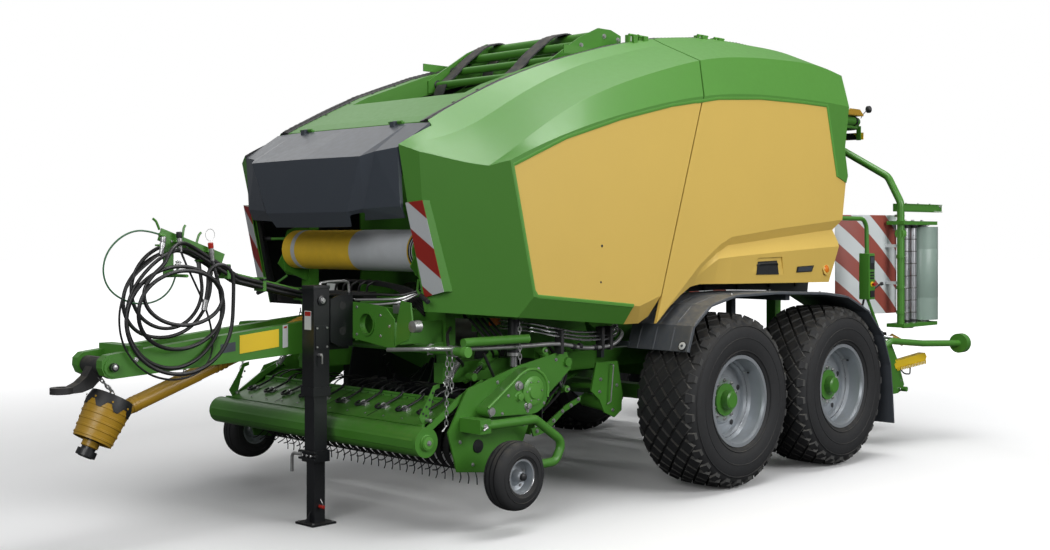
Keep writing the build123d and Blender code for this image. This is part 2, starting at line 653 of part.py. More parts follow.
for x in NOSE_KNUCKLES:
    roof += rod_x(*NOSE_PIVOT, KNUCKLE_R, (x - 60, x - 20)) + rod_x(*NOSE_PIVOT, KNUCKLE_R, (x + 20, x + 60))
    roof += rod_x(*NOSE_PIVOT, PIN_R, (x - 60, x + 60))
    for ends in ((x - 60, x - 20), (x + 20, x + 60)):
        roof += block(ends, (NOSE_PIVOT[0], NOSE_PIVOT[0] + 40), (NOSE_PIVOT[1] - 20, NOSE_PIVOT[1]))
save("roof", roof)

# the belts leave the roof over a roller, held between two side links
links = plate_x([(-560, 2700), (-330, 2760), (60, 2985), (255, 3015), (255, 3080), (150, 3112),
    (20, 3112), (-180, 3025),
                 (-560, 2790)], (ROOF_HOLE_X - 12, ROOF_HOLE_X))
carrier = both(links)
link_in = ROOF_HOLE_X - 12
for slat_y, slat_z, slat_r in ((-470, 2765, 26), (-320, 2870, 26), (-160, 2975, 30), (75, 3060, 42),
    (222, 3050, 22)):
    carrier.append(rod_x(slat_y, slat_z, slat_r, (-link_in, link_in)))
save("belt_carrier", *carrier)

# ---------------------------------------------------------------- front hood
NOSE_ROWS = (             # rear edge, upper crease, lower crease, foot; (x, y, z) from the middle outwards
    ((0, -1702, 2352), (565, -1702, 2352), (640, -1702, 2350), (NOSE_X, -1702, 2346)),
    ((0, -2060, 2145), (548, -2052, 2142), (610, -1990, 2170), (NOSE_X, -1950, 2190)),
    ((0, -2040, 1822), (408, -2036, 1822), (500, -1985, 1840), (NOSE_X, -1930, 1852)),
    ((0, -1990, 1732), (372, -1988, 1734), (450, -1945, 1772), (NOSE_X, -1895, 1784)),
)


def nose_form(back, drop):
    """The closed form of the right half of the front hood, drawn back from its outer surface."""
    rows = [[(x, y + back, z - drop) for x, y, z in row] for row in NOSE_ROWS]
    rear = [[(x, -1600 + back, z) for x, _, z in row] for row in (rows[0], rows[-1])]
    faces = []

    def add(*corners):
        for k in range(1, len(corners) - 1):
            faces.append(Face(Wire.make_polygon([corners[0], corners[k], corners[k + 1]], close=True)))

    for upper, lower in zip(rows, rows[1:]):
        for k in range(3):
            add(upper[k], upper[k + 1], lower[k + 1], lower[k])
    for row, back_row in ((rows[0], rear[0]), (rows[-1], rear[1])):
        for k in range(3):
            add(row[k], row[k + 1], back_row[k + 1], back_row[k])
    for k in range(3):
        add(rear[0][k], rear[0][k + 1], rear[1][k + 1], rear[1][k])
    for end in (0, 3):
        column = [row[end] for row in rows] + [rear[1][end], rear[0][end]]
        middle = (column[0][0], -1750 + back, 2000)
        for a, b in zip(column, column[1:] + column[:1]):
            add(middle, a, b)
    return Solid(Shell(faces))


nose_half = nose_form(0, 0) - nose_form(24, 26) - block((-10, 900), (-1702, -1500), (1500, 2600))
nose_half -= block((-10, 900), (-1990, -1500), (1500, 1760)) & block((-10, 900), (-1960, -1500), (1500, 1760))
front_hood = nose_half + other_side(nose_half)
for x in NOSE_KNUCKLES:
    ends = (x - 20 + SEAT, x + 20 - SEAT)
    front_hood += rod_x(*NOSE_PIVOT, KNUCKLE_R, ends)
    front_hood += block(ends, (NOSE_PIVOT[0] - 30, NOSE_PIVOT[0]), (NOSE_PIVOT[1] - 36, NOSE_PIVOT[1]))
    front_hood -= rod_x(*NOSE_PIVOT, PIN_R + SEAT, (x - 60, x + 60))
save("front_hood", front_hood)

# ---------------------------------------------------------------- tailgate
gate_wall = [
    (seam_y(2990, 8), 2990), (seam_y(1230, 8), 1230), (-130, 1080), (150, 945), (600, 1010), (960, 1330),
    (1080, 1750), (1040, 2250), (820, 2680), (700, 2960), (640, 3066), (445, 3045),
]
gate_ear = [(450, 2860), (560, 2900), (560, 3010), (425, 3085), (370, 3100), (345, 3065), (365, 3020)]
ear_x = (CHAMBER_X + WALL + SEAT, CHAMBER_X + 2 * WALL)
gate = plate_x(gate_wall, (CHAMBER_X, CHAMBER_X + WALL)) + plate_x(gate_ear, ear_x)
gate += block((CHAMBER_X + WALL - 2, ear_x[0] + 2), (470, 550), (2900, 3000))
gate -= rod_x(HATCH_Y, HATCH_Z, HINGE_PIN_R + SEAT, (CHAMBER_X, CHAMBER_X + 3 * WALL))
gate_shapes = both(gate)
for roll_y, roll_z in ((150, 1060), (820, 1260), (960, 1900), (700, 2650), (440, 2860)):
    gate_shapes.append(rod_x(roll_y, roll_z, 75, (-CHAMBER_X, CHAMBER_X)))

gate_top = crease(4, 440, 2080, ROOF_DROP)
gate_roof = plate_x(gate_top + [(y, z - ROOF_T) for y, z in reversed(gate_top)], (-ROOF_X, ROOF_X))
for gate_side in gate_shapes[:2]:
    gate_roof += gate_side
save("tailgate", gate_roof, *gate_shapes[2:])

# ---------------------------------------------------------------- fenders
fender_line = [(-180, 950), (-120, 1110), (60, 1235), (330, 1290), (800, 1296), (1400, 1275), (1720, 1240),
               (2010, 1125), (2225, 935), (2335, 700), (2365, 480), (2385, 250)]


def thick(points, t):
    """The same open line moved inwards, below or in front of it."""
    moved = []
    for index, point in enumerate(points):
        before = Vector(*points[max(index - 1, 0)])
        after = Vector(*points[min(index + 1, len(points) - 1)])
        way = (after - before).normalized()
        moved.append((point[0] + way.Y * t, point[1] - way.X * t))
    return moved


fender = plate_x(fender_line + list(reversed(thick(fender_line, 12))), (985, 1490))
fender += block((RAIL_X[1], 940), (pivot_y - 25, pivot_y + 25), (850, 900))
fender += block((890, 940), (pivot_y - 25, pivot_y + 25), (850, 1278))
fender += block((890, 1400), (pivot_y - 25, pivot_y + 25), (1230, 1278))
fender += block((RAIL_X[1], 1000), (2230, 2262), (875, 905))
fender += block((RAIL_X[1], 760), (-178, -150), (870, 990))
fender += block((RAIL_X[1], 1000), (-178, -150), (960, 990))
save("fenders", *both(fender))

# ---------------------------------------------------------------- pickup
side_plate = [
    (-760, 860), (-800, 960), (-900, 960), (-1250, 900), (-1640, 800), (-1790, 560), (-1720, 330),
    (-1480, 300),
    (-1230, 370), (-1100, 620),
]
pickup = []
for s in (-1, 1):
    pickup.append(plate_x(side_plate, sorted((s * PICKUP_X, s * (PICKUP_X + 12)))))
back_beam = block((-PICKUP_X, PICKUP_X), (-1320, -1260), (385, 445))
pickup_frame = pickup[0] + pickup[1] + back_beam
pickup_frame -= rod_x(*PICKUP_PIVOT, PICKUP_PIN_R + 0.5, (-1100, 1100))

cover_shape = Pos(-1195, 760) * Circle(135) + Pos(-1540, 668) * Circle(30)
cover_face = make_hull(cover_shape.edges())
cover = extrude(Plane.YZ.offset(PICKUP_X + 12) * cover_face, 90)

gauge_arms = []
for s in (-1, 1):
    arm_x = s * 1165
    line = [(arm_x, -1690, 600), (arm_x, -1230, 600), (arm_x, -990, 440), (arm_x, -1060, 330),
        (arm_x, -1565, 327)]
    arm = pipe(line, 27, 60)
    arm += block(sorted((s * (PICKUP_X + 12), s * 1190)), (-1700, -1615), (560, 640))
    arm += rod_x(GAUGE_WHEEL[1], GAUGE_WHEEL[2], 14, sorted((s * 1165, s * 1330)))
    gauge_arms.append(arm)
save("pickup_frame", pickup_frame, cover, *gauge_arms)

for side_name, s in (("left", 1), ("right", -1)):
    x, y, z = GAUGE_WHEEL
    half = GAUGE_W / 2
    ring = [(-half + 12, 100), (-half, 125), (-half + 4, 165), (-half + 26, 190), (0, GAUGE_R),
        (half - 26, 190),
            (half - 4, 165), (half, 125), (half - 12, 100)]
    save(f"gauge_tyre_{side_name}", Pos(s * x, 0, 0) * turned_x(ring, y, z))
    disc = [(-62, 99.7), (62, 99.7), (62, 88), (10, 84), (4, 60), (20, 42), (60, 30), (66, 24), (66, 0),
        (30, 0),
            (30, 14.5), (-40, 14.5), (-40, 34), (-12, 60), (-8, 88), (-62, 92)]
    save(f"gauge_rim_{side_name}", Pos(s * x, 0, 0) * turned_x([(s * px, r) for px, r in disc], y, z))

# reel with its tine bars
reel = rod_x(*REEL, 55, (-PICKUP_X + SEAT, PICKUP_X - SEAT))
tine_rows = []
count = int(2 * (PICKUP_X - 60) / TINE_PITCH)
for row in range(TINE_ROWS):
    angle = 2 * math.pi * row / TINE_ROWS
    out = (math.cos(angle), math.sin(angle))
    centre = (REEL[0] + 62 * out[0], REEL[1] + 62 * out[1])
    bar = rod_x(*centre, 12, (-PICKUP_X + 20, PICKUP_X - 20))
    for n in range(count + 1):
        x = (n - count / 2) * TINE_PITCH
        start = (x, centre[0], centre[1])
        end = (x, REEL[0] + REEL_TIP_R * out[0], REEL[1] + REEL_TIP_R * out[1])
        bar += rod(start, end, 3)
    tine_rows.append(bar)
for bar in tine_rows:
    reel += bar
save("pickup_reel", reel)

bands = []
for n in range(count):
    x = (n - (count - 1) / 2) * TINE_PITCH
    ring = Circle(BAND_R) - Circle(BAND_R - 4) - Pos(BAND_R, 0) * Rectangle(2 * BAND_R, 4 * BAND_R)
    band = make_face(Polyline((0, BAND_R - 4), (0, BAND_R), (240, BAND_R + 60),
        (240, BAND_R + 56), close=True))
    shape = extrude(Plane.YZ.offset(x - 24) * (Pos(*REEL) * ring), 48)
    shape += extrude(Plane.YZ.offset(x - 24) * (Pos(*REEL) * band), 48)
    bands.append(shape)
carrier_bar = rod_x(REEL[0] + 228, REEL[1] + BAND_R + 40.4, 12, (-PICKUP_X, PICKUP_X))
save("pickup_bands", *bands, carrier_bar)

# wind guard: roller, sloped plate and its spring rods
cover = [(-1934, 606), (-1990, 608), (-2032, 585), (-2056, 545), (-2052, 500), (-2020, 462), (-1975, 446),
    (-1925, 456),
         (-1900, 500), (-1902, 570)]
guard_roll = plate_x(cover, (-1015, 1015)) + rod_x(*GUARD_ROLL, GUARD_ROLL_R, (-1040, 1040))
guard_roll += rod_x(*GUARD_ROLL, 42, (-1058, 1058))
plate = plate_x([(-1944, 606), (-1663, 701), (-1655, 720), (-1665, 722), (-1672, 706),
    (-1950, 614)], (-960, 960))
wind = guard_roll + plate
for s in (-1, 1):
    side = sorted((s * 985, s * 997))
    wind += plate_x([(-2000, 560), (-1960, 480), (-1930, 560), (-1640, 740), (-1460, 820), (-1500, 840),
                     (-1680, 760)], side)
    wind += block(sorted((s * 950, s * 990)), (-1960, -1940), (600, 620))
    wind += rod_x(*GUARD_PIVOT, 14, sorted((s * 985, s * (PICKUP_X - SEAT))))
save("wind_guard", wind)

# ---------------------------------------------------------------- feed rotor
rotor = rod_x(*ROTOR, 70, (-CHAMBER_X + SEAT, CHAMBER_X - SEAT))
for n in range(9):
    x = (n - 4) * 130
    star = Circle(70)
    for k in range(4):
        point = make_face(Polyline((0, -45), (ROTOR_R, -14), (ROTOR_R, 14), (0, 45), close=True))
        star += Rot(0, 0, 90 * k + 20 * n) * point
    rotor += extrude(Plane.YZ.offset(x - 5) * (Pos(*ROTOR) * star), 10)
save("feed_rotor", rotor)

# ---------------------------------------------------------------- wrapper: gantry, arms, table
gantry = []
for s in (-1, 1):
    post = sorted((s * POST_X[0], s * POST_X[1]))
    gantry.append(block(post, POST_Y, (RAIL_Z[1], GANTRY_Z)))
ring_line = [(-GANTRY_X, POST_Y[0] + 40, GANTRY_Z), (-GANTRY_X, GANTRY_END, GANTRY_Z),
             (GANTRY_X, GANTRY_END, GANTRY_Z), (GANTRY_X, POST_Y[0] + 40, GANTRY_Z)]
hoop = pipe(ring_line, 36, 130)
top = hoop + gantry[0] + gantry[1]
top += pipe([(x, y, z - 52) for x, y, z in ring_line], 14, 130)
top += block((-GANTRY_X, GANTRY_X), (3110, 3190), (GANTRY_Z - 40, GANTRY_Z + 30))
top += Pos(0, SPIN_Y, GANTRY_Z - 80) * Cylinder(150, 90)
handrail = pipe([(POST_X[1], 1940, 1815), (1225, 1950, 1815), (1225, 2425, 1815), (1225, 2435, 1500)], 17, 90)
box = block((1185, 1265), (2395, 2475), (1190, 1535))
stay = rod((1225, 2440, 1190), (1225, 2682, 836), 12)
save("gantry", top, handrail - box, box, stay - box)

spinner = Pos(0, SPIN_Y, GANTRY_Z - 125 - 30 - SEAT) * Cylinder(200, 60)
arm_line = [(0, SPIN_Y - ARM_OFFSET, ARM_TOP), (640, SPIN_Y - ARM_OFFSET, ARM_TOP),
            (1110, SPIN_Y - ARM_OFFSET, 2165), (ARM_REACH, SPIN_Y - ARM_OFFSET, 1950),
            (ARM_REACH, SPIN_Y - ARM_OFFSET, ARM_FOOT)]
arm = pipe(arm_line, ARM_R, 110)
plate = block((-60, 60), (SPIN_Y - ARM_OFFSET - 40, SPIN_Y - 60), (ARM_TOP + 20, 2470))
channel = block((ARM_REACH - 70, ARM_REACH + 12), (SPIN_Y - ARM_OFFSET, 3640), (1880, 1944))
channel -= block((ARM_REACH - 64, ARM_REACH + 20), (SPIN_Y - ARM_OFFSET + 40, 3700), (1886, 1938))
arm_left = arm + plate + channel
half_turn = Pos(0, SPIN_Y, 0) * Rot(0, 0, 180) * Pos(0, -SPIN_Y, 0)
save("wrap_arms", spinner + arm_left + half_turn * arm_left)

roll_centre = (1165, SPIN_Y + 270)
film = Pos(*roll_centre, sum(ROLL_Z) / 2) * (Cylinder(ROLL_R, ROLL_Z[1] - ROLL_Z[0]) - Cylinder(38, 900))
save("film_roll_left", film)
save("film_roll_right", half_turn * film)

stretch = rod((*roll_centre, ROLL_Z[0] - 15), (*roll_centre, ROLL_Z[1] + 15), 38 - SEAT)
stretch += block((1120, 1275), (SPIN_Y - ARM_OFFSET - 40, roll_centre[1] + 60),
    (ROLL_Z[0] - 45, ROLL_Z[0] - 15))
stretch += block((1120, 1275), (SPIN_Y - ARM_OFFSET - 40, roll_centre[1] + 60),
    (ROLL_Z[1] + 15, ROLL_Z[1] + 45))
for roll_y in (SPIN_Y - 60, SPIN_Y + 60):
    stretch += rod((1195, roll_y, ROLL_Z[0] - 20), (1195, roll_y, ROLL_Z[1] + 20), 32)
stretch -= rod((ARM_REACH, SPIN_Y - ARM_OFFSET, 900), (ARM_REACH, SPIN_Y - ARM_OFFSET, 1900), ARM_R + SEAT)
save("pre_stretch", stretch, half_turn * stretch)

table = []
for s in (-1, 1):
    line = [(2640, 560), (2700, 500), (3600, 500), (3640, 560), (3640, 720), (3500, 740), (2700, 740),
        (2640, 700)]
    table.append(plate_x(line, sorted((s * 612, s * 627))))
table_frame = table[0] + table[1]
for roll_y in TABLE_Y:
    table_frame += rod_x(roll_y, 560, 30, (-612, 612))
    for s in (-1, 1):
        table_frame += rod_x(roll_y, TABLE_Z, STUB_SHAFT_R, sorted((s * 560, s * 620)))
table_frame -= rod_x(*TABLE_PIVOT, TABLE_PIN_R + 0.5, (-640, 640))
save("table_frame", table_frame)
for name, roll_y in zip(("front", "rear"), TABLE_Y):
    roller = rod_x(roll_y, TABLE_Z, TABLE_ROLL_R, (-604, 604))
    for s in (-1, 1):
        roller -= rod_x(roll_y, TABLE_Z, STUB_SHAFT_R + SEAT, sorted((s * 555, s * 605)))
    save(f"table_roller_{name}", roller)

# ---------------------------------------------------------------- lift that carries the bale to the table
lift = rod_x(*LIFT_PIVOT, 40, (-600, 600))
for s in (-1, 1):
    arm = beam((s * 540, LIFT_PIVOT[0], LIFT_PIVOT[1]), (s * 540, LIFT_TIP_Y, LIFT_PIVOT[1] + 20), 50, 70)
    lift += arm
lift += rod_x(LIFT_TIP_Y, LIFT_PIVOT[1] + 20, 45, (-560, 560))
save("bale_lift", lift - rod_x(*LIFT_PIVOT, 20.5, (-610, 610)))

# ---------------------------------------------------------- hose holder, hoses along it and the hank on it
HOLDER = [(100, -1850, 1280), (100, -1990, 1330), (100, -2130, 1345), (100, -2600, 1455), (100, -2830, 1590),
          (100, -3000, 1672)]
HANK_X = (205, 292)
HANK_MID = (-3030, 1228)
HANK_SIZE = (332, 330)    # half of its length and height
HANK_HOLE = (-3035, 1352, 228, 122)
PEG_R = 9
HOSE_R = 11.5
HOSE_BEND = 70
CABLE_R = 5
hose_lines = []
for dx, dz in ((-34, -8), (-34, -34), (34, -8), (34, -34)):
    hose_lines.append([(100 + dx, -1700, 1312 + dz)] + [(x + dx, y, z + dz) for x, y, z in HOLDER[1:-1]])
save("hose_bundle", *[pipe(line, HOSE_R, HOSE_BEND) for line in hose_lines])

holder = pipe(HOLDER, 15, 60) + block((85, 115), (-1872, -1842), (1260 + SEAT, 1285))
holder += beam((112, -2690, 1545), (112, -3090, 1690), 8, 70)
peg_z = HANK_HOLE[1] + HANK_HOLE[3] - PEG_R - SEAT
holder += rod((112, HANK_HOLE[0], peg_z), (305, HANK_HOLE[0], peg_z), PEG_R)
holder += block((104, 116), (HANK_HOLE[0] - 30, HANK_HOLE[0] + 30), (peg_z - 12, 1660))
holder += rod((123.1, -3063.4, 1679.9), (124, -3100, 1690), 9)
clamps = block((52, 148), (-2160, -2140), (1298, 1372)) + block((52, 148), (-2440, -2420), (1360, 1440))
clamps += block((52, 148), (-2680, -2660), (1438, 1520))
holder += clamps
for line in hose_lines:
    holder -= pipe(line, HOSE_R + SEAT, HOSE_BEND)
save("hose_holder", holder)

ring = Pos(*HANK_MID) * Ellipse(*HANK_SIZE) - Pos(*HANK_HOLE[:2]) * Ellipse(*HANK_HOLE[2:])
save("hose_hank", extrude(Plane.YZ.offset(HANK_X[0]) * ring, HANK_X[1] - HANK_X[0]))

LEAD_IN = [(134, -2830, 1582), (134, -2902.4, 1624.5), (172, -2983, 1645), (212, -3058, 1626),
    (237, -3112, 1572),
           (248.5, -3137, 1530)]
LEAD_OUT = [(248.5, -2880, 1470), (253.5, -2872, 1400), (250, -2885, 1330)]
CABLE = [(124, -3100, 1690), (126, -3180, 1712), (130, -3270, 1705), (134, -3355, 1660), (137, -3420, 1585),
         (140, -3442, 1490), (142, -3410, 1400), (143, -3330, 1340), (142, -3230, 1312), (140, -3130, 1322),
         (137, -3055, 1365), (133, -3010, 1430), (128, -2990, 1500)]


def cord(points, radius):
    """A round cord along a route whose corners are as gentle as its runs allow."""
    radii = []
    for before, corner, after in zip(points, points[1:], points[2:]):
        way_in, way_out = Vector(*corner) - Vector(*before), Vector(*after) - Vector(*corner)
        half_turn_angle = math.radians(way_in.get_angle(way_out)) / 2
        radii.append(0.45 * min(way_in.length, way_out.length) / math.tan(half_turn_angle))
    print("bend radii", [round(r) for r in radii])
    path = FilletPolyline(*points, radius=radii)
    return sweep(Plane(origin=path @ 0, z_dir=path % 0) * Circle(radius), path)


def beyond(points, distance):
    """The point that lies further along a cord's last run."""
    last = Vector(*points[-1])
    return tuple(last + (last - Vector(*points[-2])).normalized() * distance)


save("hose_leads", cord(LEAD_IN, HOSE_R), cord(LEAD_OUT, HOSE_R))
save("cable_loop", cord(CABLE, CABLE_R))
save("cord_fittings", rod(LEAD_OUT[-1], beyond(LEAD_OUT, 58), 16), rod(CABLE[-1], beyond(CABLE, 45), 11))

# ---------------------------------------------------------------- striped guards that turn with the arms
GUARD_SWEEP_R = 1115
GUARD_START = -3
GUARD_ENDS = (-36, -26)   # the left arm's guard reaches further round
GUARD_Z = (1050, 1850)
GUARD_BRACKETS = (1300, 1600)


def sweep_guard(end):
    """A sheet curved about the arms' axis, ahead of the left arm, with its two brackets."""
    corners = [(2000 * math.cos(math.radians(a)), 2000 * math.sin(math.radians(a)))
               for a in (end, (end + GUARD_START) / 2, GUARD_START)]
    sheet = Circle(GUARD_SWEEP_R) - Circle(GUARD_SWEEP_R - 4)
    sheet &= make_face(Polyline((0, 0), *corners, close=True))
    shape = Pos(0, SPIN_Y, GUARD_Z[0]) * extrude(sheet, GUARD_Z[1] - GUARD_Z[0])
    arm_y = SPIN_Y - ARM_OFFSET
    for z in GUARD_BRACKETS:
        shape += block((GUARD_SWEEP_R - 20, ARM_REACH - ARM_R), (arm_y - 20, arm_y + 20), (z - 12, z + 12))
    return shape


save("arm_guards", sweep_guard(GUARD_ENDS[0]), half_turn * sweep_guard(GUARD_ENDS[1]))
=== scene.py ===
# %% [markdown]
# # A round baler and bale wrapper, dressed for the yard
# The machine's steel and plastic come from a CAD model, node by node, and they arrive here as a fixed frame.
# This lesson gives every node a finish and adds what the CAD leaves out: tyre tread, hoses, bolts, chains,
# springs, boards and belts.  All lengths are in metres; +X is the machine's left side and -Y its front.

# %% Load the frame
import math

import bmesh
import bpy
from mathutils import Matrix, Vector


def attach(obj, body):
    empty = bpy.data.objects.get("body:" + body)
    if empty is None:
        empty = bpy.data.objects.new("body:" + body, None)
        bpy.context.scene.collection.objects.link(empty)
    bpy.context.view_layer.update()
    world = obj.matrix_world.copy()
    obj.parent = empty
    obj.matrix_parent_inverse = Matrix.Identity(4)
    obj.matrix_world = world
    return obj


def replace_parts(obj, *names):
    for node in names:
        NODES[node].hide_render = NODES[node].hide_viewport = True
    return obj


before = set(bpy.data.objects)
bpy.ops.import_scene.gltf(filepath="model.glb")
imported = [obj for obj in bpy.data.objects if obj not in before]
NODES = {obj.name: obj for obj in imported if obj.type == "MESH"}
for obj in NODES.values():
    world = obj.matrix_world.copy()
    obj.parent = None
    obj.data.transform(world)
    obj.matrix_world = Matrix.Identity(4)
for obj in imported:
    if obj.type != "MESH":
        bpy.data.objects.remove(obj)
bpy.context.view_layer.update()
TAU = 2 * math.pi
SIDES = {"left": 1, "right": -1}
LEFT, FRONT, UP = (1, 0, 0), (0, -1, 0), (0, 0, 1)
WHEEL_X, WHEEL_Z = 1.235, 0.585             # middle of the left main wheels
WHEEL_Y = {"front": 0.43, "rear": 1.7}

# %% [markdown]
# ## Camera
# A lens of about 46 mm, held at the height of the bonnet and turned 45 degrees, shows the front and the left side
# together.  Tilting the camera would centre the machine too, but its uprights would lean, so a small shift frames
# it instead.

# %% Camera
CAMERA_PLACE = (6.653, -6.882, 1.68)
CAMERA_TURN = math.radians(44.59)
camera = bpy.data.objects.new("camera", bpy.data.cameras.new("camera"))
bpy.context.scene.collection.objects.link(camera)
camera.location = CAMERA_PLACE
camera.rotation_euler = (math.radians(90), 0, CAMERA_TURN)
camera.data.lens = 45.79
camera.data.shift_y = -0.0371
camera.data.clip_end = 200
bpy.context.scene.camera = camera
bpy.context.scene.view_settings.view_transform = "Standard"
print("camera:", CAMERA_PLACE, "lens", camera.data.lens)


# %% [markdown]
# ## A short way to write node trees
# Each call adds one node.  A value that is a socket becomes a link, and any other value is set as it is.  Nodes
# could be added and linked line by line, but nested calls read like the sum they work out.

# %% Node helpers
def put(tree, kind, values=(), **settings):
    """Add a node; values are pairs of input name or number and a number, colour or socket."""
    node = tree.nodes.new(kind)
    for key, value in settings.items():
        setattr(node, key, value)
    for key, value in values:
        if isinstance(value, bpy.types.NodeSocket):
            tree.links.new(value, node.inputs[key])
        else:
            node.inputs[key].default_value = value
    return node


def maths(tree, operation, a, b=0.0, c=0.0, clamp=False):
    """One arithmetic step."""
    return put(tree, "ShaderNodeMath", [(0, a), (1, b), (2, c)], operation=operation, use_clamp=clamp).outputs[0]


def blend_colour(tree, factor, a, b, mode="MIX"):
    """Mix two colours."""
    node = put(tree, "ShaderNodeMix", [(0, factor), (6, a), (7, b)], data_type="RGBA", blend_type=mode)
    return node.outputs[2]


def remap(tree, value, low, high, to_low=0.0, to_high=1.0):
    """Stretch a range of values to another range, clamped."""
    node = put(tree, "ShaderNodeMapRange", [(0, value), (1, low), (2, high), (3, to_low), (4, to_high)])
    return node.outputs[0]


def group(name, inputs, outputs):
    """An empty node group with named sockets; inputs are (name, type, value)."""
    tree = bpy.data.node_groups.new(name, "ShaderNodeTree")
    for label, kind, value in inputs:
        socket = tree.interface.new_socket(label, in_out="INPUT", socket_type=f"NodeSocket{kind}")
        socket.default_value = value
    for label, kind in outputs:
        tree.interface.new_socket(label, in_out="OUTPUT", socket_type=f"NodeSocket{kind}")
    return tree, tree.nodes.new("NodeGroupInput").outputs, tree.nodes.new("NodeGroupOutput").inputs


# %% [markdown]
# ## Weather, shared by every finish
# Real paint and plastic are never one even colour.  One group makes slow mottling, a film of dust that settles on
# what faces up, and the fine relief that breaks up a highlight.  Painted textures could do this as well, but noise
# in object space needs no unwrapping and suits pieces of every size.  Every finish uses the group with its own
# numbers.

# %% The weather group
DUST_COLOUR = (0.36, 0.31, 0.22, 1)
weather, have, give = group(
    "weather",
    [("Colour", "Color", (0.5, 0.5, 0.5, 1)), ("Mottle", "Float", 0.1), ("Patch", "Float", 3.0),
     ("Dust", "Float", 0.2), ("Roughness", "Float", 0.4), ("Grain", "Float", 90.0)],
    [("Colour", "Color"), ("Roughness", "Float"), ("Height", "Float")],
)
place = put(weather, "ShaderNodeTexCoord").outputs["Object"]
facing = put(weather, "ShaderNodeSeparateXYZ", [(0, put(weather, "ShaderNodeNewGeometry").outputs["Normal"])])
cloud = put(weather, "ShaderNodeTexNoise", [("Vector", place), ("Scale", have["Patch"]), ("Detail", 5.0)])
speck = put(weather, "ShaderNodeTexNoise", [("Vector", place), ("Scale", 26.0), ("Detail", 6.0)])
grain = put(weather, "ShaderNodeTexNoise", [("Vector", place), ("Scale", have["Grain"]), ("Detail", 3.0)])
swing = maths(weather, "MULTIPLY", maths(weather, "SUBTRACT", cloud.outputs[0], 0.5), have["Mottle"])
tone = maths(weather, "ADD", maths(weather, "MULTIPLY", swing, 2.0), 1.0)
shade = blend_colour(weather, 1.0, have["Colour"], put(weather, "ShaderNodeCombineXYZ", [
    (0, tone), (1, tone), (2, tone)]).outputs[0], "MULTIPLY")
upward = remap(weather, facing.outputs[2], 0.15, 0.95)
settled = maths(weather, "MULTIPLY", upward, remap(weather, speck.outputs[0], 0.35, 0.75))
film = maths(weather, "MULTIPLY", settled, have["Dust"], clamp=True)
weather.links.new(blend_colour(weather, film, shade, DUST_COLOUR), give["Colour"])
rough_swing = maths(weather, "MULTIPLY_ADD", maths(weather, "SUBTRACT", speck.outputs[0], 0.5), 0.16,
                    have["Roughness"])
weather.links.new(maths(weather, "MULTIPLY_ADD", film, 0.3, rough_swing, clamp=True), give["Roughness"])
weather.links.new(grain.outputs[0], give["Height"])
print("weather group:", len(weather.nodes), "nodes")

# %% [markdown]
# ## Stripes that lean
# Warning boards and striped bars share one pattern: bands across two directions, sharp at their edges.  The bands
# could be strips of mesh, but as a pattern they stay even over a board and need no faces.

# %% The stripe group
stripe, have, give = group(
    "stripe",
    [("Way", "Vector", (0, 1, 1)), ("Width", "Float", 0.1), ("Start", "Float", 0.0)],
    [("Mask", "Float")],
)
place = put(stripe, "ShaderNodeTexCoord").outputs["Object"]
along = put(stripe, "ShaderNodeVectorMath", [(0, place), (1, have["Way"])], operation="DOT_PRODUCT").outputs[1]
phase = maths(stripe, "DIVIDE", maths(stripe, "ADD", along, have["Start"]), have["Width"])
band = maths(stripe, "ABSOLUTE", maths(stripe, "SUBTRACT", maths(stripe, "FLOORED_MODULO", phase, 2.0), 1.0))
stripe.links.new(remap(stripe, band, 0.485, 0.515), give["Mask"])
print("stripe group:", len(stripe.nodes), "nodes")


# %% [markdown]
# ## Finishes
# A finish is a Principled shader fed by the weather group.  Gloss and coat are plain numbers on the shader, and
# only colour, roughness and relief come from the group, so that they can be baked.  Each paint, plastic and metal
# could have a tree of its own, but one maker keeps them easy to compare and to tune.

# %% Finish maker
RELIEF_DEPTH = 0.002


def finish(name, colour, rough, mottle=0.08, dust=0.18, patch=2.5, grain=120.0, bump=0.08, metal=0.0, coat=0.0,
           coat_rough=0.1):
    """A material made of a shader and the weather group, with its own numbers for both."""
    material = bpy.data.materials.new(name)
    material.use_nodes = True
    tree = material.node_tree
    shader = tree.nodes["Principled BSDF"]
    worn = put(tree, "ShaderNodeGroup", node_tree=weather)
    for key, value in (("Colour", (*colour, 1)), ("Mottle", mottle), ("Patch", patch), ("Dust", dust),
                       ("Roughness", rough), ("Grain", grain)):
        worn.inputs[key].default_value = value
    tree.links.new(worn.outputs["Colour"], shader.inputs["Base Color"])
    tree.links.new(worn.outputs["Roughness"], shader.inputs["Roughness"])
    relief = put(tree, "ShaderNodeBump", [("Strength", bump), ("Distance", RELIEF_DEPTH),
                                          ("Height", worn.outputs["Height"])])
    tree.links.new(relief.outputs[0], shader.inputs["Normal"])
    for key, value in (("Metallic", metal), ("Coat Weight", coat), ("Coat Roughness", coat_rough)):
        shader.inputs[key].default_value = value
    material.diffuse_color = (*colour, 1)
    return material


def bands(material, other, way, width, start=0.0):
    """Turn a finish into stripes of two colours."""
    tree = material.node_tree
    worn = next(n for n in tree.nodes if n.type == "GROUP")
    mask = put(tree, "ShaderNodeGroup", node_tree=stripe)
    for key, value in (("Way", way), ("Width", width), ("Start", start)):
        mask.inputs[key].default_value = value
    first = tuple(worn.inputs["Colour"].default_value)
    tree.links.new(blend_colour(tree, mask.outputs[0], first, (*other, 1)), worn.inputs["Colour"])
    return material


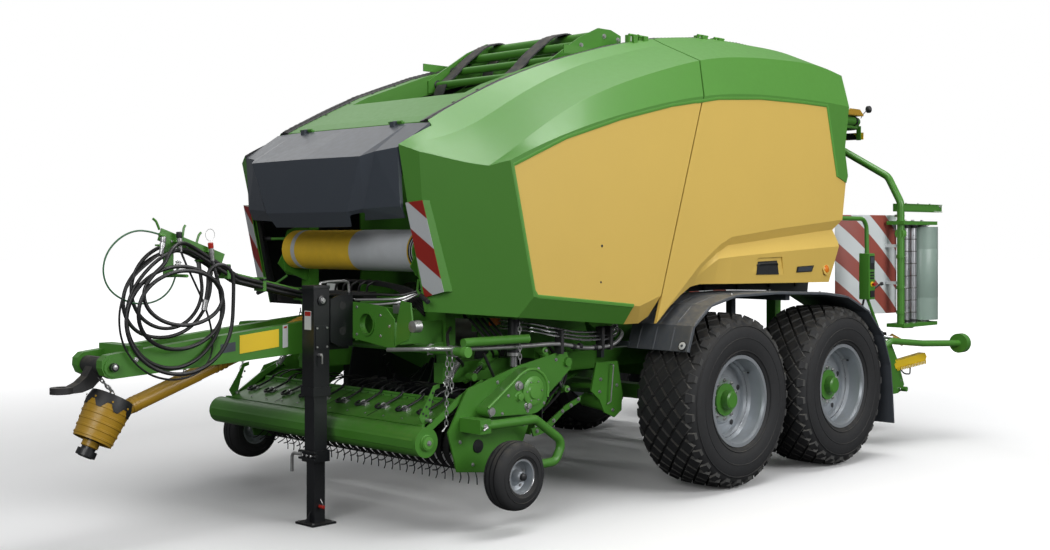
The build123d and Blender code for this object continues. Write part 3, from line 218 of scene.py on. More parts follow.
# %% Paints, plastics and metals
green_paint = finish("green_paint", (0.062, 0.225, 0.024), 0.38, coat=0.12, dust=0.12, bump=0.05)
green_panel = finish("green_panel", (0.068, 0.238, 0.025), 0.5, mottle=0.04, coat=0.2, dust=0.04, bump=0.03,
                     coat_rough=0.22)
green_light = finish("green_light", (0.1, 0.31, 0.045), 0.38, mottle=0.04, coat=0.1, dust=0.05, bump=0.03)
yellow_panel = finish("yellow_panel", (0.69, 0.475, 0.105), 0.42, mottle=0.03, coat=0.12, dust=0.06, bump=0.03)
grey_panel = finish("grey_panel", (0.05, 0.06, 0.076), 0.34, mottle=0.05, coat=0.25, dust=0.12, bump=0.04,
                    coat_rough=0.3)
fender_plastic = finish("fender_plastic", (0.072, 0.082, 0.096), 0.5, mottle=0.1, dust=0.3, bump=0.12, grain=300)
black_paint = finish("black_paint", (0.007, 0.008, 0.01), 0.42, coat=0.1, dust=0.08)
black_plastic = finish("black_plastic", (0.014, 0.015, 0.017), 0.5, dust=0.1, bump=0.15, grain=350)
tyre_edge = finish("tyre_edge", (0.062, 0.062, 0.06), 0.85, mottle=0.5, patch=5.0, dust=0.2, bump=0.3)
rubber = finish("rubber", (0.011, 0.011, 0.012), 0.42, mottle=0.15, dust=0.08, bump=0.2, grain=260)
tyre_rubber = finish("tyre_rubber", (0.016, 0.0165, 0.018), 0.74, mottle=0.25, dust=0.16, bump=0.3, grain=180)
silver_paint = finish("silver_paint", (0.4, 0.43, 0.46), 0.36, mottle=0.1, dust=0.2, metal=0.55, coat=0.2)
zinc = finish("zinc", (0.5, 0.5, 0.5), 0.36, mottle=0.35, patch=14.0, dust=0.15, metal=0.85, bump=0.1)
bright_steel = finish("bright_steel", (0.58, 0.58, 0.59), 0.25, mottle=0.12, dust=0.1, metal=1.0)
worn_steel = finish("worn_steel", (0.2, 0.195, 0.19), 0.42, mottle=0.4, patch=9.0, dust=0.25, metal=0.8, bump=0.2)
cast_iron = finish("cast_iron", (0.035, 0.035, 0.036), 0.6, mottle=0.2, dust=0.25, metal=0.3, bump=0.5, grain=220)
ochre_plastic = finish("ochre_plastic", (0.43, 0.245, 0.014), 0.42, mottle=0.08, dust=0.15, coat=0.1)
net_gold = finish("net_gold", (0.78, 0.5, 0.03), 0.6, mottle=0.14, patch=12.0, dust=0.05, bump=0.5, grain=500)
net_pale = finish("net_pale", (0.5, 0.52, 0.54), 0.6, mottle=0.12, patch=12.0, dust=0.05, bump=0.5, grain=500)
film_skin = finish("film_skin", (0.255, 0.34, 0.295), 0.38, mottle=0.12, patch=6.0, dust=0.02, coat=0.1, bump=0.15)
roller_metal = finish("roller_metal", (0.56, 0.57, 0.59), 0.3, mottle=0.1, dust=0.05, metal=0.9)
belt_rubber = finish("belt_rubber", (0.03, 0.031, 0.033), 0.66, mottle=0.2, dust=0.25, bump=0.35, grain=420)
red_plastic = finish("red_plastic", (0.42, 0.02, 0.012), 0.3, mottle=0.05, dust=0.05, coat=0.3)
amber_plastic = finish("amber_plastic", (0.75, 0.2, 0.01), 0.25, mottle=0.05, dust=0.05, coat=0.5)
white_plastic = finish("white_plastic", (0.62, 0.64, 0.64), 0.35, mottle=0.05, dust=0.08, coat=0.2)
safety_yellow = finish("safety_yellow", (0.84, 0.58, 0.02), 0.4, mottle=0.06, dust=0.1, coat=0.2)
green_cable = finish("green_cable", (0.03, 0.13, 0.05), 0.5, mottle=0.1, dust=0.1)
guard_stripes = bands(finish("guard_stripes", (0.33, 0.07, 0.05), 0.4, mottle=0.05, dust=0.05, coat=0.2),
                      (0.66, 0.7, 0.71), (0.0, 0.9, 0.95), 0.15, 0.02)
board_stripes = bands(finish("board_stripes", (0.3, 0.018, 0.012), 0.4, mottle=0.05, dust=0.05, coat=0.2),
                      (0.5, 0.52, 0.54), (0.9, 0.0, 0.95), 0.155, 0.05)
warning_stripes = bands(finish("warning_stripes", (0.7, 0.45, 0.02), 0.4, mottle=0.05, dust=0.06, coat=0.2),
                        (0.015, 0.015, 0.016), (1.0, 1.0, 1.0), 0.11)
print("finishes:", len(bpy.data.materials))

# %% [markdown]
# ## Dress the CAD nodes
# Most nodes take one finish.  Some hold more than one real part, such as a rim with its hub, so their faces are
# sorted by where they lie.  The same sorting paints shade: the low front of the chamber walls and the faces of the
# side hoods that look inwards or down are painted black as painted shade.  Faces could be picked by hand, but a
# rule still holds when the model changes.

# %% Node finishes
ONE_FINISH = (
    (green_paint, "main_frame axles front_frame drawbar belt_carrier gantry tailgate pickup_frame hose_holder"
                  " wind_guard wrap_arms table_frame bale_lift"),
    (green_panel, "roof"), (green_light, "roof_rails"), (grey_panel, "front_hood"), (fender_plastic, "fenders"),
    (worn_steel, "chamber_rollers"),
    (black_paint, "jack_sleeve jack_leg pto_yoke pickup_reel feed_rotor"), (cast_iron, "tow_eye gearbox pickup_bands"),
    (ochre_plastic, "pto_guard"), (rubber, "hose_bundle hose_hank hose_leads"), (green_cable, "cable_loop"),
    (zinc, "cord_fittings"), (guard_stripes, "arm_guards"), (film_skin, "film_roll_left film_roll_right"),
    (bright_steel, "table_roller_front table_roller_rear"),
    (silver_paint, "gauge_rim_left gauge_rim_right"),
    (tyre_rubber, "gauge_tyre_left gauge_tyre_right tyre_front_left tyre_front_right tyre_rear_left tyre_rear_right"),
)
PANELS = {"hood_front": green_panel, "hood_rear": green_panel, "insert_front": yellow_panel,
          "insert_rear": yellow_panel}
PANEL_SHARP, OTHER_SHARP = 9, 26            # degrees between faces from which an edge looks sharp
HUB_RADIUS = 0.112
ROLL_Y, ROLL_Z = -1.64, 1.592               # axis of the net roll


# %% How a node is dressed
def dress(node, main, *rules):
    """Give a node its main finish, and another finish to the faces for which a rule holds."""
    mesh = NODES[node].data
    mesh.materials.clear()
    mesh.materials.append(main)
    for number, (material, holds) in enumerate(rules, 1):
        mesh.materials.append(material)
        for face in mesh.polygons:
            if holds(face):
                face.material_index = number


def near_axis(radius, y, z):
    """True for faces within a radius of an axis that runs across the machine."""
    return lambda face: math.hypot(face.center.y - y, face.center.z - z) < radius


# %% Dress every node
for material, names in ONE_FINISH:
    for node in names.split():
        dress(node, material)
core = near_axis(0.07, ROLL_Y, ROLL_Z)
dress("net_roll", net_gold, (black_plastic, lambda face: abs(face.center.x) > 0.6295 and core(face)))
dress("pre_stretch", roller_metal, (green_paint, lambda face: not 0.972 <= face.center.z <= 1.771))
# the low front of the chamber walls, behind the pickup, is painted black as painted shade
dress("chamber_walls", green_paint, (black_paint, lambda face: face.center.y < -0.7 and abs(face.center.x) < 0.62
                                     and face.center.z < 1.2))
for side, sign in SIDES.items():
    for end, y in WHEEL_Y.items():
        dress(f"rim_{end}_{side}", silver_paint, (green_paint, near_axis(HUB_RADIUS, y, WHEEL_Z)))
    for part, material in PANELS.items():   # faces that look inwards or down are painted black as painted shade
        dress(f"{part}_{side}", material,
              (black_plastic, lambda face: face.normal.x * sign < -0.25 or face.normal.z < -0.85))
for node, piece in NODES.items():
    panel = "hood" in node or "insert" in node or node == "roof"
    piece.data.shade_smooth()
    piece.data.set_sharp_from_angle(angle=math.radians(PANEL_SHARP if panel else OTHER_SHARP))
print("dressed", len(NODES), "nodes")


# %% [markdown]
# ## Shapes
# One small maker collects corners and faces for a piece, with a finish for each part, and hands them to Blender as
# one mesh.  Modifiers and curves could make each part as an object, but hundreds of bolts would be slow to handle.
# Rounded edges come from real bevels, so that they also show in an export.  Its frame mirrors or turns what it is
# given, so that one set of numbers serves both sides.

# %% Shape maker
AXIS, THIN_AXIS = 0.001, 0.0005             # radii that close a profile near its axis
EASE = 0.0015                               # how far the rim of a bar is eased
SHARP = math.radians(32)                    # angle between faces from which an edge looks sharp


def placed(origin, way):
    """The matrix that brings the origin to a point and +Z to a direction."""
    return Matrix.Translation(Vector(origin)) @ Vector(way).to_track_quat("Z", "Y").to_matrix().to_4x4()


def circle(count, radius, first=0.0):
    """Pairs spread evenly round a circle; the first one is a share of a step along."""
    turns = [TAU * (k + first) / count for k in range(count)]
    return [(radius * math.cos(a), radius * math.sin(a)) for a in turns]


def rounded(points, reach, steps, loop=False):
    """Points with each inner corner replaced by a short curve."""
    points = [Vector(p) for p in points]
    if not steps or (not loop and len(points) < 3):
        return points
    out = [] if loop else [points[0]]
    for i in (range(len(points)) if loop else range(1, len(points) - 1)):
        a, b, c = points[i - 1], points[i], points[(i + 1) % len(points)]
        cut = min((a - b).length, (c - b).length) * reach
        start, end = b + (a - b).normalized() * cut, b + (c - b).normalized() * cut
        for k in range(steps + 1):
            t = k / steps
            out.append(start * (1 - t) ** 2 + b * 2 * t * (1 - t) + end * t ** 2)
    return out if loop else out + [points[-1]]


def outward(path):
    """Each point of a path seen from the side, with the direction square to the path there."""
    for i, point in enumerate(path):
        run = (path[min(i + 1, len(path) - 1)] - path[max(i - 1, 0)]).normalized()
        yield point, Vector((0, -run.z, run.y))


def oblong(a, b, c, d):
    """Four corners of a rectangle between (a, b) and (c, d)."""
    return [(a, b), (c, b), (c, d), (a, d)]


def hoop(start, end, inner, outer):
    """The profile of a plain ring between two places along its axis."""
    return [(start, inner), (start, outer), (end, outer), (end, inner)]


def cap(end, *profile):
    """The profile of a solid knob: pairs of (along, radius), closed at the axis where it starts and at its end."""
    return [(profile[0][0], AXIS), *profile, (end, AXIS)]


# %% The maker
class Shape:
    """Parts of one piece, gathered in a single mesh."""

    def __init__(self, name, sign=1):
        self.name = name
        self.mesh = bmesh.new()
        self.finishes = []
        self.frame = Matrix.Diagonal((sign, 1, 1, 1))

    def both(self):
        """Repeat on the right side, mirrored, and then on the left."""
        for sign in (-1, 1):
            self.frame = Matrix.Diagonal((sign, 1, 1, 1))
            yield sign

    def at(self, point):
        """A given point where the frame puts it."""
        return self.frame @ Vector(point)

    def way(self, direction):
        """A given direction as the frame turns it."""
        return self.frame.to_3x3() @ Vector(direction)

    def close_part(self, faces, material, smooth):
        """Give the faces of a part their finish."""
        if material not in self.finishes:
            self.finishes.append(material)
        for face in faces:
            face.material_index = self.finishes.index(material)
            face.smooth = smooth

    def box(self, low, high, material, bevel=0.003):
        """A block with rounded edges between two corners."""
        low, high = Vector(low), Vector(high)
        made = bmesh.ops.create_cube(self.mesh, size=1.0)["verts"]
        size = high - low
        middle = (low + high) / 2
        for v in made:
            v.co = Vector((v.co[i] * size[i] for i in range(3))) + middle
        edges = list(dict.fromkeys(e for v in made for e in v.link_edges))
        made = bmesh.ops.bevel(self.mesh, geom=edges, offset=min(bevel, min(size) * 0.3), segments=2, profile=0.7,
                               affect="EDGES")["verts"]
        for v in made:
            v.co = self.frame @ v.co
        faces = {f for v in made for f in v.link_faces}
        for face in faces:
            face.normal_update()
        self.close_part(faces, material, True)

    def rings(self, rings, material, closed=False, smooth=True):
        """A skin over rings of placed corners with equal counts."""
        rows = [[self.mesh.verts.new(p) for p in ring] for ring in rings]
        count = len(rows[0])
        faces = []
        pairs = list(zip(rows, rows[1:])) + ([(rows[-1], rows[0])] if closed else [])
        for a, b in pairs:
            for i in range(count):
                j = (i + 1) % count
                faces.append(self.mesh.faces.new((a[i], a[j], b[j], b[i])))
        if not closed:
            faces.append(self.mesh.faces.new(list(reversed(rows[0]))))
            faces.append(self.mesh.faces.new(rows[-1]))
        self.close_part(faces, material, smooth)

    def turned(self, profile, turn, material, steps, closed=True):
        """Turn a profile of (along, radius) round the Z axis of a matrix."""
        rows = [[self.mesh.verts.new(turn @ Vector((r * math.cos(TAU * k / steps), r * math.sin(TAU * k / steps), a)))
                 for a, r in profile] for k in range(steps)]
        faces = []
        count = len(profile)
        for k in range(steps):
            a, b = rows[k], rows[(k + 1) % steps]
            for i in range(count if closed else count - 1):
                j = (i + 1) % count
                faces.append(self.mesh.faces.new((a[i], b[i], b[j], a[j])))
        if not closed:
            faces.append(self.mesh.faces.new([row[0] for row in reversed(rows)]))
            faces.append(self.mesh.faces.new([row[-1] for row in rows]))
        self.close_part(faces, material, True)

    def lathe(self, profile, origin, way, material, steps=32, closed=True):
        """Turn a profile round an axis."""
        self.turned(profile, placed(self.at(origin), self.way(way)), material, steps, closed)

    def bar(self, start, end, radius, material, steps=16):
        """A round bar with eased ends."""
        start, end = self.at(start), self.at(end)
        length = (end - start).length
        ease = min(EASE, length * 0.3)
        self.turned([(0, radius - ease), (ease, radius), (length - ease, radius), (length, radius - ease)],
                    placed(start, end - start), material, steps, closed=False)

    def pipe(self, path, radius, material, steps, loop=False):
        """A round skin along placed points."""
        frames = []
        side = None
        for i, point in enumerate(path):
            after = path[(i + 1) % len(path)] if (loop or i + 1 < len(path)) else point
            before = path[i - 1] if (loop or i) else point
            way = (after - before).normalized()
            if side is None:
                side = way.orthogonal().normalized()
            side = (side - way * side.dot(way)).normalized()
            other = way.cross(side)
            frames.append([point + side * radius * c + other * radius * s for c, s in circle(steps, 1)])
        self.rings(frames, material, closed=loop)

    def tube(self, points, radius, material, steps=10, rounding=4, reach=0.35, loop=False):
        """A bent round bar through points, its corners rounded."""
        path = rounded([self.at(p) for p in points], reach, rounding, loop)
        self.pipe(path, radius, material, steps, loop)

    def slab(self, corners, thick, material):
        """A flat piece: an outline in space and the same outline moved by its thickness."""
        corners = [self.at(p) for p in corners]
        thick = self.way(thick)
        self.rings([corners, [p + thick for p in corners]], material, smooth=False)

    def side_plate(self, x, outline, thick, material):
        """A slab that faces sideways; its outline is in Y and Z."""
        self.slab([(x, y, z) for y, z in outline], (thick, 0, 0), material)

    def front_plate(self, y, outline, thick, material):
        """A slab that faces forward; its outline is in X and Z."""
        self.slab([(x, y, z) for x, z in outline], (0, thick, 0), material)

    def pierced(self, outline, holes, origin, thickness, material):
        """A plate in the X-Z plane with holes; lists of x and z, and where its back lies."""
        made = bmesh.new()
        loops = []
        for line in (outline, *holes):
            corners = [made.verts.new((x, 0, z)) for x, z in line]
            loops.append([made.edges.new((a, b)) for a, b in zip(corners, corners[1:] + corners[:1])])
        bmesh.ops.triangle_fill(made, use_beauty=True, edges=[e for loop in loops for e in loop])
        faces = bmesh.ops.extrude_face_region(made, geom=list(made.faces))["geom"]
        bmesh.ops.translate(made, vec=(0, -thickness, 0), verts=[g for g in faces if isinstance(g, bmesh.types.BMVert)])
        bmesh.ops.translate(made, vec=origin, verts=made.verts)
        known = {v: self.mesh.verts.new(v.co) for v in made.verts}
        self.close_part([self.mesh.faces.new([known[v] for v in face.verts]) for face in made.faces], material, False)
        made.free()

    def bolt(self, at, way, size, material=zinc, washer=True):
        """A hexagon head on a washer, standing on a surface."""
        turn = placed(self.at(at), self.way(way))
        if washer:
            self.turned([(0, THIN_AXIS), (0, size * 1.25), (size * 0.2, size * 1.25), (size * 0.2, THIN_AXIS)], turn,
                        material, 16)
        levels = [(0.1, 0.97), (0.75, 0.97), (0.85, 0.85)]
        self.rings([[turn @ Vector((x * size * s, y * size * s, size * z)) for x, y in circle(6, 1)]
                    for z, s in levels], material, smooth=False)

    def side_bolts(self, x, places, size, material=zinc, washer=True):
        """Bolts that face sideways, at places in Y and Z."""
        for y, z in places:
            self.bolt((x, y, z), LEFT, size, material, washer)

    def chain(self, start, end, pitch=0.028, wire=0.0034, wide=0.0085):
        """A chain of upright and flat links between two points."""
        start, end = self.at(start), self.at(end)
        way = (end - start).normalized()
        first = way.orthogonal().normalized()
        second = way.cross(first)
        count = max(2, round((end - start).length / pitch))
        straight = pitch / 2 + wire * 0.9 - wide
        for k in range(count):
            middle = start + (end - start) * (k + 0.5) / count
            across = first if k % 2 else second
            bows = [way * (straight + wide * math.sin(a)) + across * wide * math.cos(a)
                    for a in (math.pi * j / 4 for j in range(5))]
            self.pipe([middle + b for b in bows] + [middle - b for b in bows], wire, zinc, 6, loop=True)

    def spring(self, start, end, radius, wire, turns):
        """A coil spring with straight ends."""
        start, end = self.at(start), self.at(end)
        run = end - start
        way = run.normalized()
        first = way.orthogonal().normalized()
        second = way.cross(first)
        points = [start, start + run * 0.06]
        for k in range(turns * 10 + 1):
            a = TAU * k / 10
            points.append(start + run * (0.12 + 0.76 * k / (turns * 10)) + first * radius * math.cos(a)
                          + second * radius * math.sin(a))
        self.pipe(points + [end - run * 0.06, end], wire, zinc, 6)

    def done(self, body):
        """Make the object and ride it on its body."""
        bmesh.ops.recalc_face_normals(self.mesh, faces=self.mesh.faces)
        mesh = bpy.data.meshes.new(self.name)
        self.mesh.to_mesh(mesh)
        self.mesh.free()
        for material in self.finishes:
            mesh.materials.append(material)
        mesh.set_sharp_from_angle(angle=SHARP)
        piece = bpy.data.objects.new(self.name, mesh)
        bpy.context.scene.collection.objects.link(piece)
        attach(piece, body)
        print(self.name, len(mesh.polygons), "faces")
        return piece


# %% [markdown]
# ## Tyre tread
# Flotation tyres for soft ground carry rows of low blocks across a round shoulder.  The tread could be relief in
# the rubber, but its blocks break the tyre's outline.  So a carcass is turned first, and then blocks are set on it
# in staggered rows, each one bent to the tyre's curve and a little narrower at its top.

# %% Main tyres
CARCASS = [                                 # half of the tyre's outside: across it, and radius
    (-0.2027, 0.2863), (-0.2027, 0.306), (-0.218, 0.313), (-0.236, 0.345), (-0.2445, 0.39), (-0.2475, 0.435),
    (-0.243, 0.482), (-0.227, 0.519), (-0.203, 0.544), (-0.17, 0.555), (-0.1, 0.561), (0.0, 0.563),
]
TREAD_ROWS = (0.0, 0.055, 0.11, 0.165)      # middles of the rows of diamond blocks
TREAD_COUNT = 27
TREAD_RADIUS, TREAD_END = 0.57, 0.5         # where the tread runs, and where the side wall takes over
TREAD_LEVELS = ((-0.006, 1.0), (0.0205, 0.86))   # a block's foot and top: lift and share of its width
INNER_WALL = [(0.18, 0.2863), (0.19, 0.33), (0.215, 0.43), (0.17, 0.53)]
DIAMOND = [(-0.0495, 0.0), (0.0, -0.059), (0.0495, 0.0), (0.0, 0.059)]
SHOULDER = [(-0.018, -0.036), (0.022, -0.026), (0.022, 0.026), (-0.018, 0.036)]
SHOULDER_X = 0.208
WALL_RIBS = ((0.335, 0.2345), (0.42, 0.2468), (0.5, 0.2385))   # radius, and how far out


# %% Tread blocks
def tread_surface(x, lift):
    """Radius of the tyre's outside at a place across it."""
    x = abs(x)
    for (x0, r0), (x1, r1) in zip(CARCASS, CARCASS[1:]):
        if -x0 >= x >= -x1 and r0 > TREAD_END:
            return r0 + (r1 - r0) * (-x0 - x) / (x1 - x0 + 1e-9) + lift
    return TREAD_END + lift


def tread_block(shape, x, angle, outline, centre):
    """One block: an outline across and along the tyre, a little smaller on top, with worn pale sides."""
    corners = []
    for level, shrink in TREAD_LEVELS:
        for across, along in outline:
            px = x + across * shrink
            a, r = angle + along * shrink / TREAD_RADIUS, tread_surface(px, level)
            corners.append(shape.mesh.verts.new((centre[0] + px, centre[1] + r * math.cos(a),
                                                 centre[2] + r * math.sin(a))))
    shape.close_part([shape.mesh.faces.new(corners[4:])], tyre_rubber, False)
    sides = [shape.mesh.faces.new((corners[i], corners[(i + 1) % 4], corners[4 + (i + 1) % 4], corners[4 + i]))
             for i in range(4)]
    shape.close_part(sides, tyre_edge, False)


# %% Four tyres
def main_tyre(end, side, centre):
    """A carcass with side-wall ribs and its tread."""
    shape = Shape(f"tread_{end}_{side}")
    outer = CARCASS + [(-a, r) for a, r in reversed(CARCASS[:-1])]
    inner = INNER_WALL + [(-a, r) for a, r in reversed(INNER_WALL)]
    shape.lathe(outer + inner, centre, LEFT, tyre_rubber, 96)
    for sign in (-1, 1):
        for radius, out in WALL_RIBS:
            ring = [(sign * (out - 0.003), radius - 0.006), (sign * (out + 0.0025), radius - 0.002),
                    (sign * (out + 0.0025), radius + 0.002), (sign * (out - 0.004), radius + 0.006)]
            shape.lathe(ring, centre, LEFT, tyre_rubber, 96)
    for k in range(TREAD_COUNT):
        for sign in (-1, 1):
            for row, x in enumerate(TREAD_ROWS):
                if x or sign > 0:
                    tread_block(shape, sign * x, TAU * (k + 0.5 * (row % 2)) / TREAD_COUNT, DIAMOND, centre)
            tread_block(shape, sign * SHOULDER_X, TAU * k / TREAD_COUNT, [(sign * x, y) for x, y in SHOULDER], centre)
    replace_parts(shape.done(f"wheel_{end[0]}{side[0]}"), f"tyre_{end}_{side}")


for end, y in WHEEL_Y.items():
    for side, sign in SIDES.items():
        main_tyre(end, side, (sign * WHEEL_X, y, WHEEL_Z))

# %% [markdown]
# ## Hoses and the cable
# The machine is parked, so the hoses that join it to a tractor hang coiled on their holder.  They could be swept
# as meshes, but a curve keeps its middle line, and its length can be read.  Every hose follows a smooth line
# through the same route points as the CAD.  The long one leaves the bundle, turns three times round the peg and
# ends in a coupling.  Its length is read from the finished line, never guessed.

# %% Routes
LEAD_IN = [(0.134, -2.83, 1.582), (0.134, -2.9024, 1.6245), (0.172, -2.983, 1.645), (0.212, -3.058, 1.626),
           (0.237, -3.112, 1.572), (0.2485, -3.137, 1.53)]
LEAD_OUT = [(0.2535, -2.872, 1.4), (0.25, -2.885, 1.33)]
BEND_RADIUS, BEND_Y, BEND_Z = 0.088, -2.795, 1.435      # last bend of the hank
CABLE = [(0.124, -3.1, 1.69), (0.126, -3.18, 1.712), (0.13, -3.27, 1.705), (0.134, -3.355, 1.66),
         (0.137, -3.42, 1.585), (0.14, -3.442, 1.49), (0.142, -3.41, 1.4), (0.143, -3.33, 1.34),
         (0.142, -3.23, 1.312), (0.14, -3.13, 1.322), (0.137, -3.055, 1.365), (0.133, -3.01, 1.43),
         (0.128, -2.99, 1.5)]
HANK_Y = -3.03
TURNS = (  # half width, low point, high point before and after, sideways place at 0, 90, 180 and 360 degrees
    (0.235, 1.195, 1.53, 1.495, (0.248, 0.248, 0.281, 0.281)),
    (0.285, 1.06, 1.495, 1.52, (0.281, 0.281, 0.216, 0.216)),
    (0.322, 0.925, 1.52, 1.52, (0.216, 0.216, 0.248, 0.248)),
)


def turn_point(turn, degrees):
    """A point of one turn of the hank, counted from its top towards the front."""
    half, low, before, after, lanes = turn
    angle = math.radians(degrees)
    top = before if degrees <= 180 else after
    z = (top + low) / 2 + (top - low) / 2 * math.cos(angle)
    marks = (0, 90, 180, 360)
    for (a, b), (x0, x1) in zip(zip(marks, marks[1:]), zip(lanes, lanes[1:])):
        if a <= degrees <= b:
            x = x0 + (x1 - x0) * (degrees - a) / (b - a)
    return (x, HANK_Y - half * math.sin(angle), z)


# %% Hose maker
def hose(name, points, diameter, material, stands_for=()):
    """A round cord along route points, with its real length."""
    data = bpy.data.curves.new(name, "CURVE")
    data.dimensions = "3D"
    spline = data.splines.new("NURBS")
    spline.points.add(len(points) - 1)
    for point, place in zip(spline.points, points):
        point.co = (*place, 1)
    spline.order_u = 3
    spline.use_endpoint_u = True
    spline.resolution_u = 5
    piece = bpy.data.objects.new(name, data)
    bpy.context.scene.collection.objects.link(piece)
    line = bpy.data.meshes.new_from_object(piece)
    places = [v.co.copy() for v in line.vertices]
    bpy.data.meshes.remove(line)
    length = sum((b - a).length for a, b in zip(places, places[1:]))
    data.bevel_depth = diameter / 2
    data.bevel_resolution = 3
    data.use_fill_caps = True
    data.materials.append(material)
    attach(piece, "chassis")
    if stands_for:
        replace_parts(piece, *stands_for)
    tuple(points[0])
    print(name, "length", round(length, 2), "m")


# %% The long hose and the cable
# the first turn starts where the hose leads in, and the last one ends where the hose leads out
coil = [turn_point(TURNS[0], a) for a in range(50, 361, 22)]
coil += [turn_point(TURNS[1], a) for a in range(18, 361, 24)]
coil += [turn_point(TURNS[2], a) for a in range(18, 271, 24)]
coil += [(0.248, -2.707, 1.33)]
coil += [(0.249, BEND_Y + BEND_RADIUS * math.cos(math.radians(a)), BEND_Z + BEND_RADIUS * math.sin(math.radians(a)))
         for a in range(0, 151, 25)]
hose("hose_main", LEAD_IN + coil + LEAD_OUT, 0.022, rubber, ("hose_hank", "hose_leads"))
hose("cable_loop_line", CABLE, 0.01, green_cable, ("cable_loop",))

# %% The other loops
LOOPS = {
    "hose_outer": (0.021, [
        (0.134, -2.83, 1.556), (0.134, -2.9, 1.597), (0.15, -2.975, 1.61), (0.165, -3.06, 1.59),
        (0.178, -3.15, 1.545), (0.185, -3.235, 1.47), (0.185, -3.3, 1.38), (0.185, -3.33, 1.27),
        (0.185, -3.32, 1.16), (0.185, -3.265, 1.06), (0.185, -3.18, 0.99), (0.185, -3.06, 0.955),
        (0.185, -2.94, 0.975), (0.185, -2.84, 1.04), (0.185, -2.765, 1.14), (0.182, -2.735, 1.26),
        (0.172, -2.745, 1.38), (0.155, -2.765, 1.48), (0.142, -2.777, 1.552)]),
    "hose_back_high": (0.021, [
        (0.066, -2.83, 1.582), (0.066, -2.9, 1.622), (0.068, -2.99, 1.64), (0.07, -3.09, 1.612),
        (0.072, -3.18, 1.545), (0.074, -3.235, 1.45), (0.075, -3.24, 1.34), (0.075, -3.19, 1.24),
        (0.075, -3.1, 1.18), (0.075, -3.0, 1.165), (0.075, -2.9, 1.195), (0.074, -2.83, 1.265),
        (0.07, -2.797, 1.35), (0.058, -2.793, 1.43), (0.044, -2.8, 1.5)]),
    "hose_back_low": (0.021, [
        (0.066, -2.83, 1.556), (0.064, -2.9, 1.596), (0.057, -2.99, 1.6), (0.05, -3.09, 1.57),
        (0.046, -3.2, 1.49), (0.045, -3.27, 1.38), (0.045, -3.27, 1.26), (0.045, -3.2, 1.16),
        (0.045, -3.09, 1.12), (0.045, -2.97, 1.12), (0.045, -2.86, 1.16), (0.044, -2.78, 1.24),
        (0.041, -2.735, 1.33), (0.038, -2.72, 1.4), (0.036, -2.72, 1.47)]),
    "hose_thin": (0.012, [
        (0.15, -2.985, 1.605), (0.155, -2.955, 1.53), (0.161, -2.9, 1.42), (0.163, -2.835, 1.29),
        (0.163, -2.79, 1.15), (0.163, -2.79, 1.02), (0.163, -2.85, 0.935), (0.163, -2.95, 0.897),
        (0.163, -3.06, 0.893), (0.163, -3.18, 0.93), (0.163, -3.28, 1.01), (0.163, -3.345, 1.12),
        (0.163, -3.362, 1.25), (0.161, -3.335, 1.37), (0.158, -3.27, 1.465), (0.153, -3.18, 1.535),
        (0.15, -3.1, 1.59)]),
}
for name, (diameter, points) in LOOPS.items():
    hose(name, points, diameter, rubber)

# %% [markdown]
# ## Couplings on the hose holder
# Each hose ends in a coupling that is parked in a claw on the holder.  One of them has a red dust cap with a wire
# ring.  A coupling is a stack of round steps, so it is turned round the line of its hose, and one table places all
# five.

# %% Couplings
COUPLINGS = (  # where the hose ends, the tip, and the cap's finish
    ((0.142, -2.777, 1.552), (0.144, -2.79, 1.64), red_plastic),
    ((0.044, -2.8, 1.5), (0.044, -2.812, 1.585), zinc),
    ((0.036, -2.72, 1.47), (0.036, -2.732, 1.555), zinc),
    ((0.15, -2.985, 1.605), (0.148, -2.992, 1.7), black_plastic),
    ((0.15, -3.1, 1.59), (0.146, -3.085, 1.672), zinc),
)
shape = Shape("couplings")
for end, tip, used in COUPLINGS:
    way = Vector(tip) - Vector(end)
    reach = way.length
    # the coupling's body, its cap, and the claw that holds it
    shape.lathe([(-0.012, 0.0105), (-0.01, 0.0125), (reach * 0.35, 0.0135), (reach * 0.36, 0.0165),
                 (reach * 0.62, 0.0165), (reach * 0.63, 0.0125), (reach * 0.7, 0.0125)], end, way, zinc, 20,
                closed=False)
    shape.lathe([(reach * 0.68, 0.0145), (reach * 0.72, 0.0155), (reach, 0.0155), (reach * 1.04, 0.012)], end, way,
                used, 20, closed=False)
    x, y, z = Vector(end) + way * 0.5
    side = 0.112 if x > 0.1 else 0.088
    shape.box((min(side, x) - 0.003, y - 0.024, z - 0.006), (max(side, x) + 0.003, y + 0.024, z + 0.004), green_paint,
              0.001)
ring = Vector((0.144, -2.792, 1.686))      # middle of the red cap's wire ring
shape.tube([ring + Vector((0, 0.03 * s, -0.034 * c)) for c, s in circle(14, 1)], 0.0016, zinc, 6, 1, loop=True)
for y0, z0, y1, z1 in ((-3.09, 1.715, -3.13, 1.775), (-2.95, 1.66, -2.93, 1.74), (-2.86, 1.64, -2.83, 1.7)):
    shape.tube([(0.112, y0, z0), (0.112, (y0 + y1) / 2, z1 - 0.015), (0.112, y1, z1)], 0.007, green_paint, 10)
shape.side_bolts(0.1162, ((-3.08, 1.675), (-3.015, 1.65), (-2.92, 1.62), (-2.82, 1.582)), 0.006)
for y, z in ((-2.15, 1.335), (-2.43, 1.4), (-2.67, 1.479)):
    shape.box((0.05, y - 0.011, z + 0.021), (0.15, y + 0.011, z + 0.034), black_paint, 0.002)
shape.done("chassis")

# %% Collars at the hose ends
shape = Shape("hose_end_collars")
for start, end in (((0.25, -2.8855, 1.327), (0.2475, -2.896, 1.27)),
                   ((0.128, -2.9898, 1.5005), (0.1258, -2.981, 1.54))):
    way = Vector(end) - Vector(start)
    for share in (0.15, 0.45, 0.8):
        shape.lathe([(0, 0.0115), (0.001, 0.0175), (0.006, 0.0175), (0.007, 0.0115)], Vector(start) + way * share, way,
                    zinc, 18, closed=False)
shape.done("chassis")

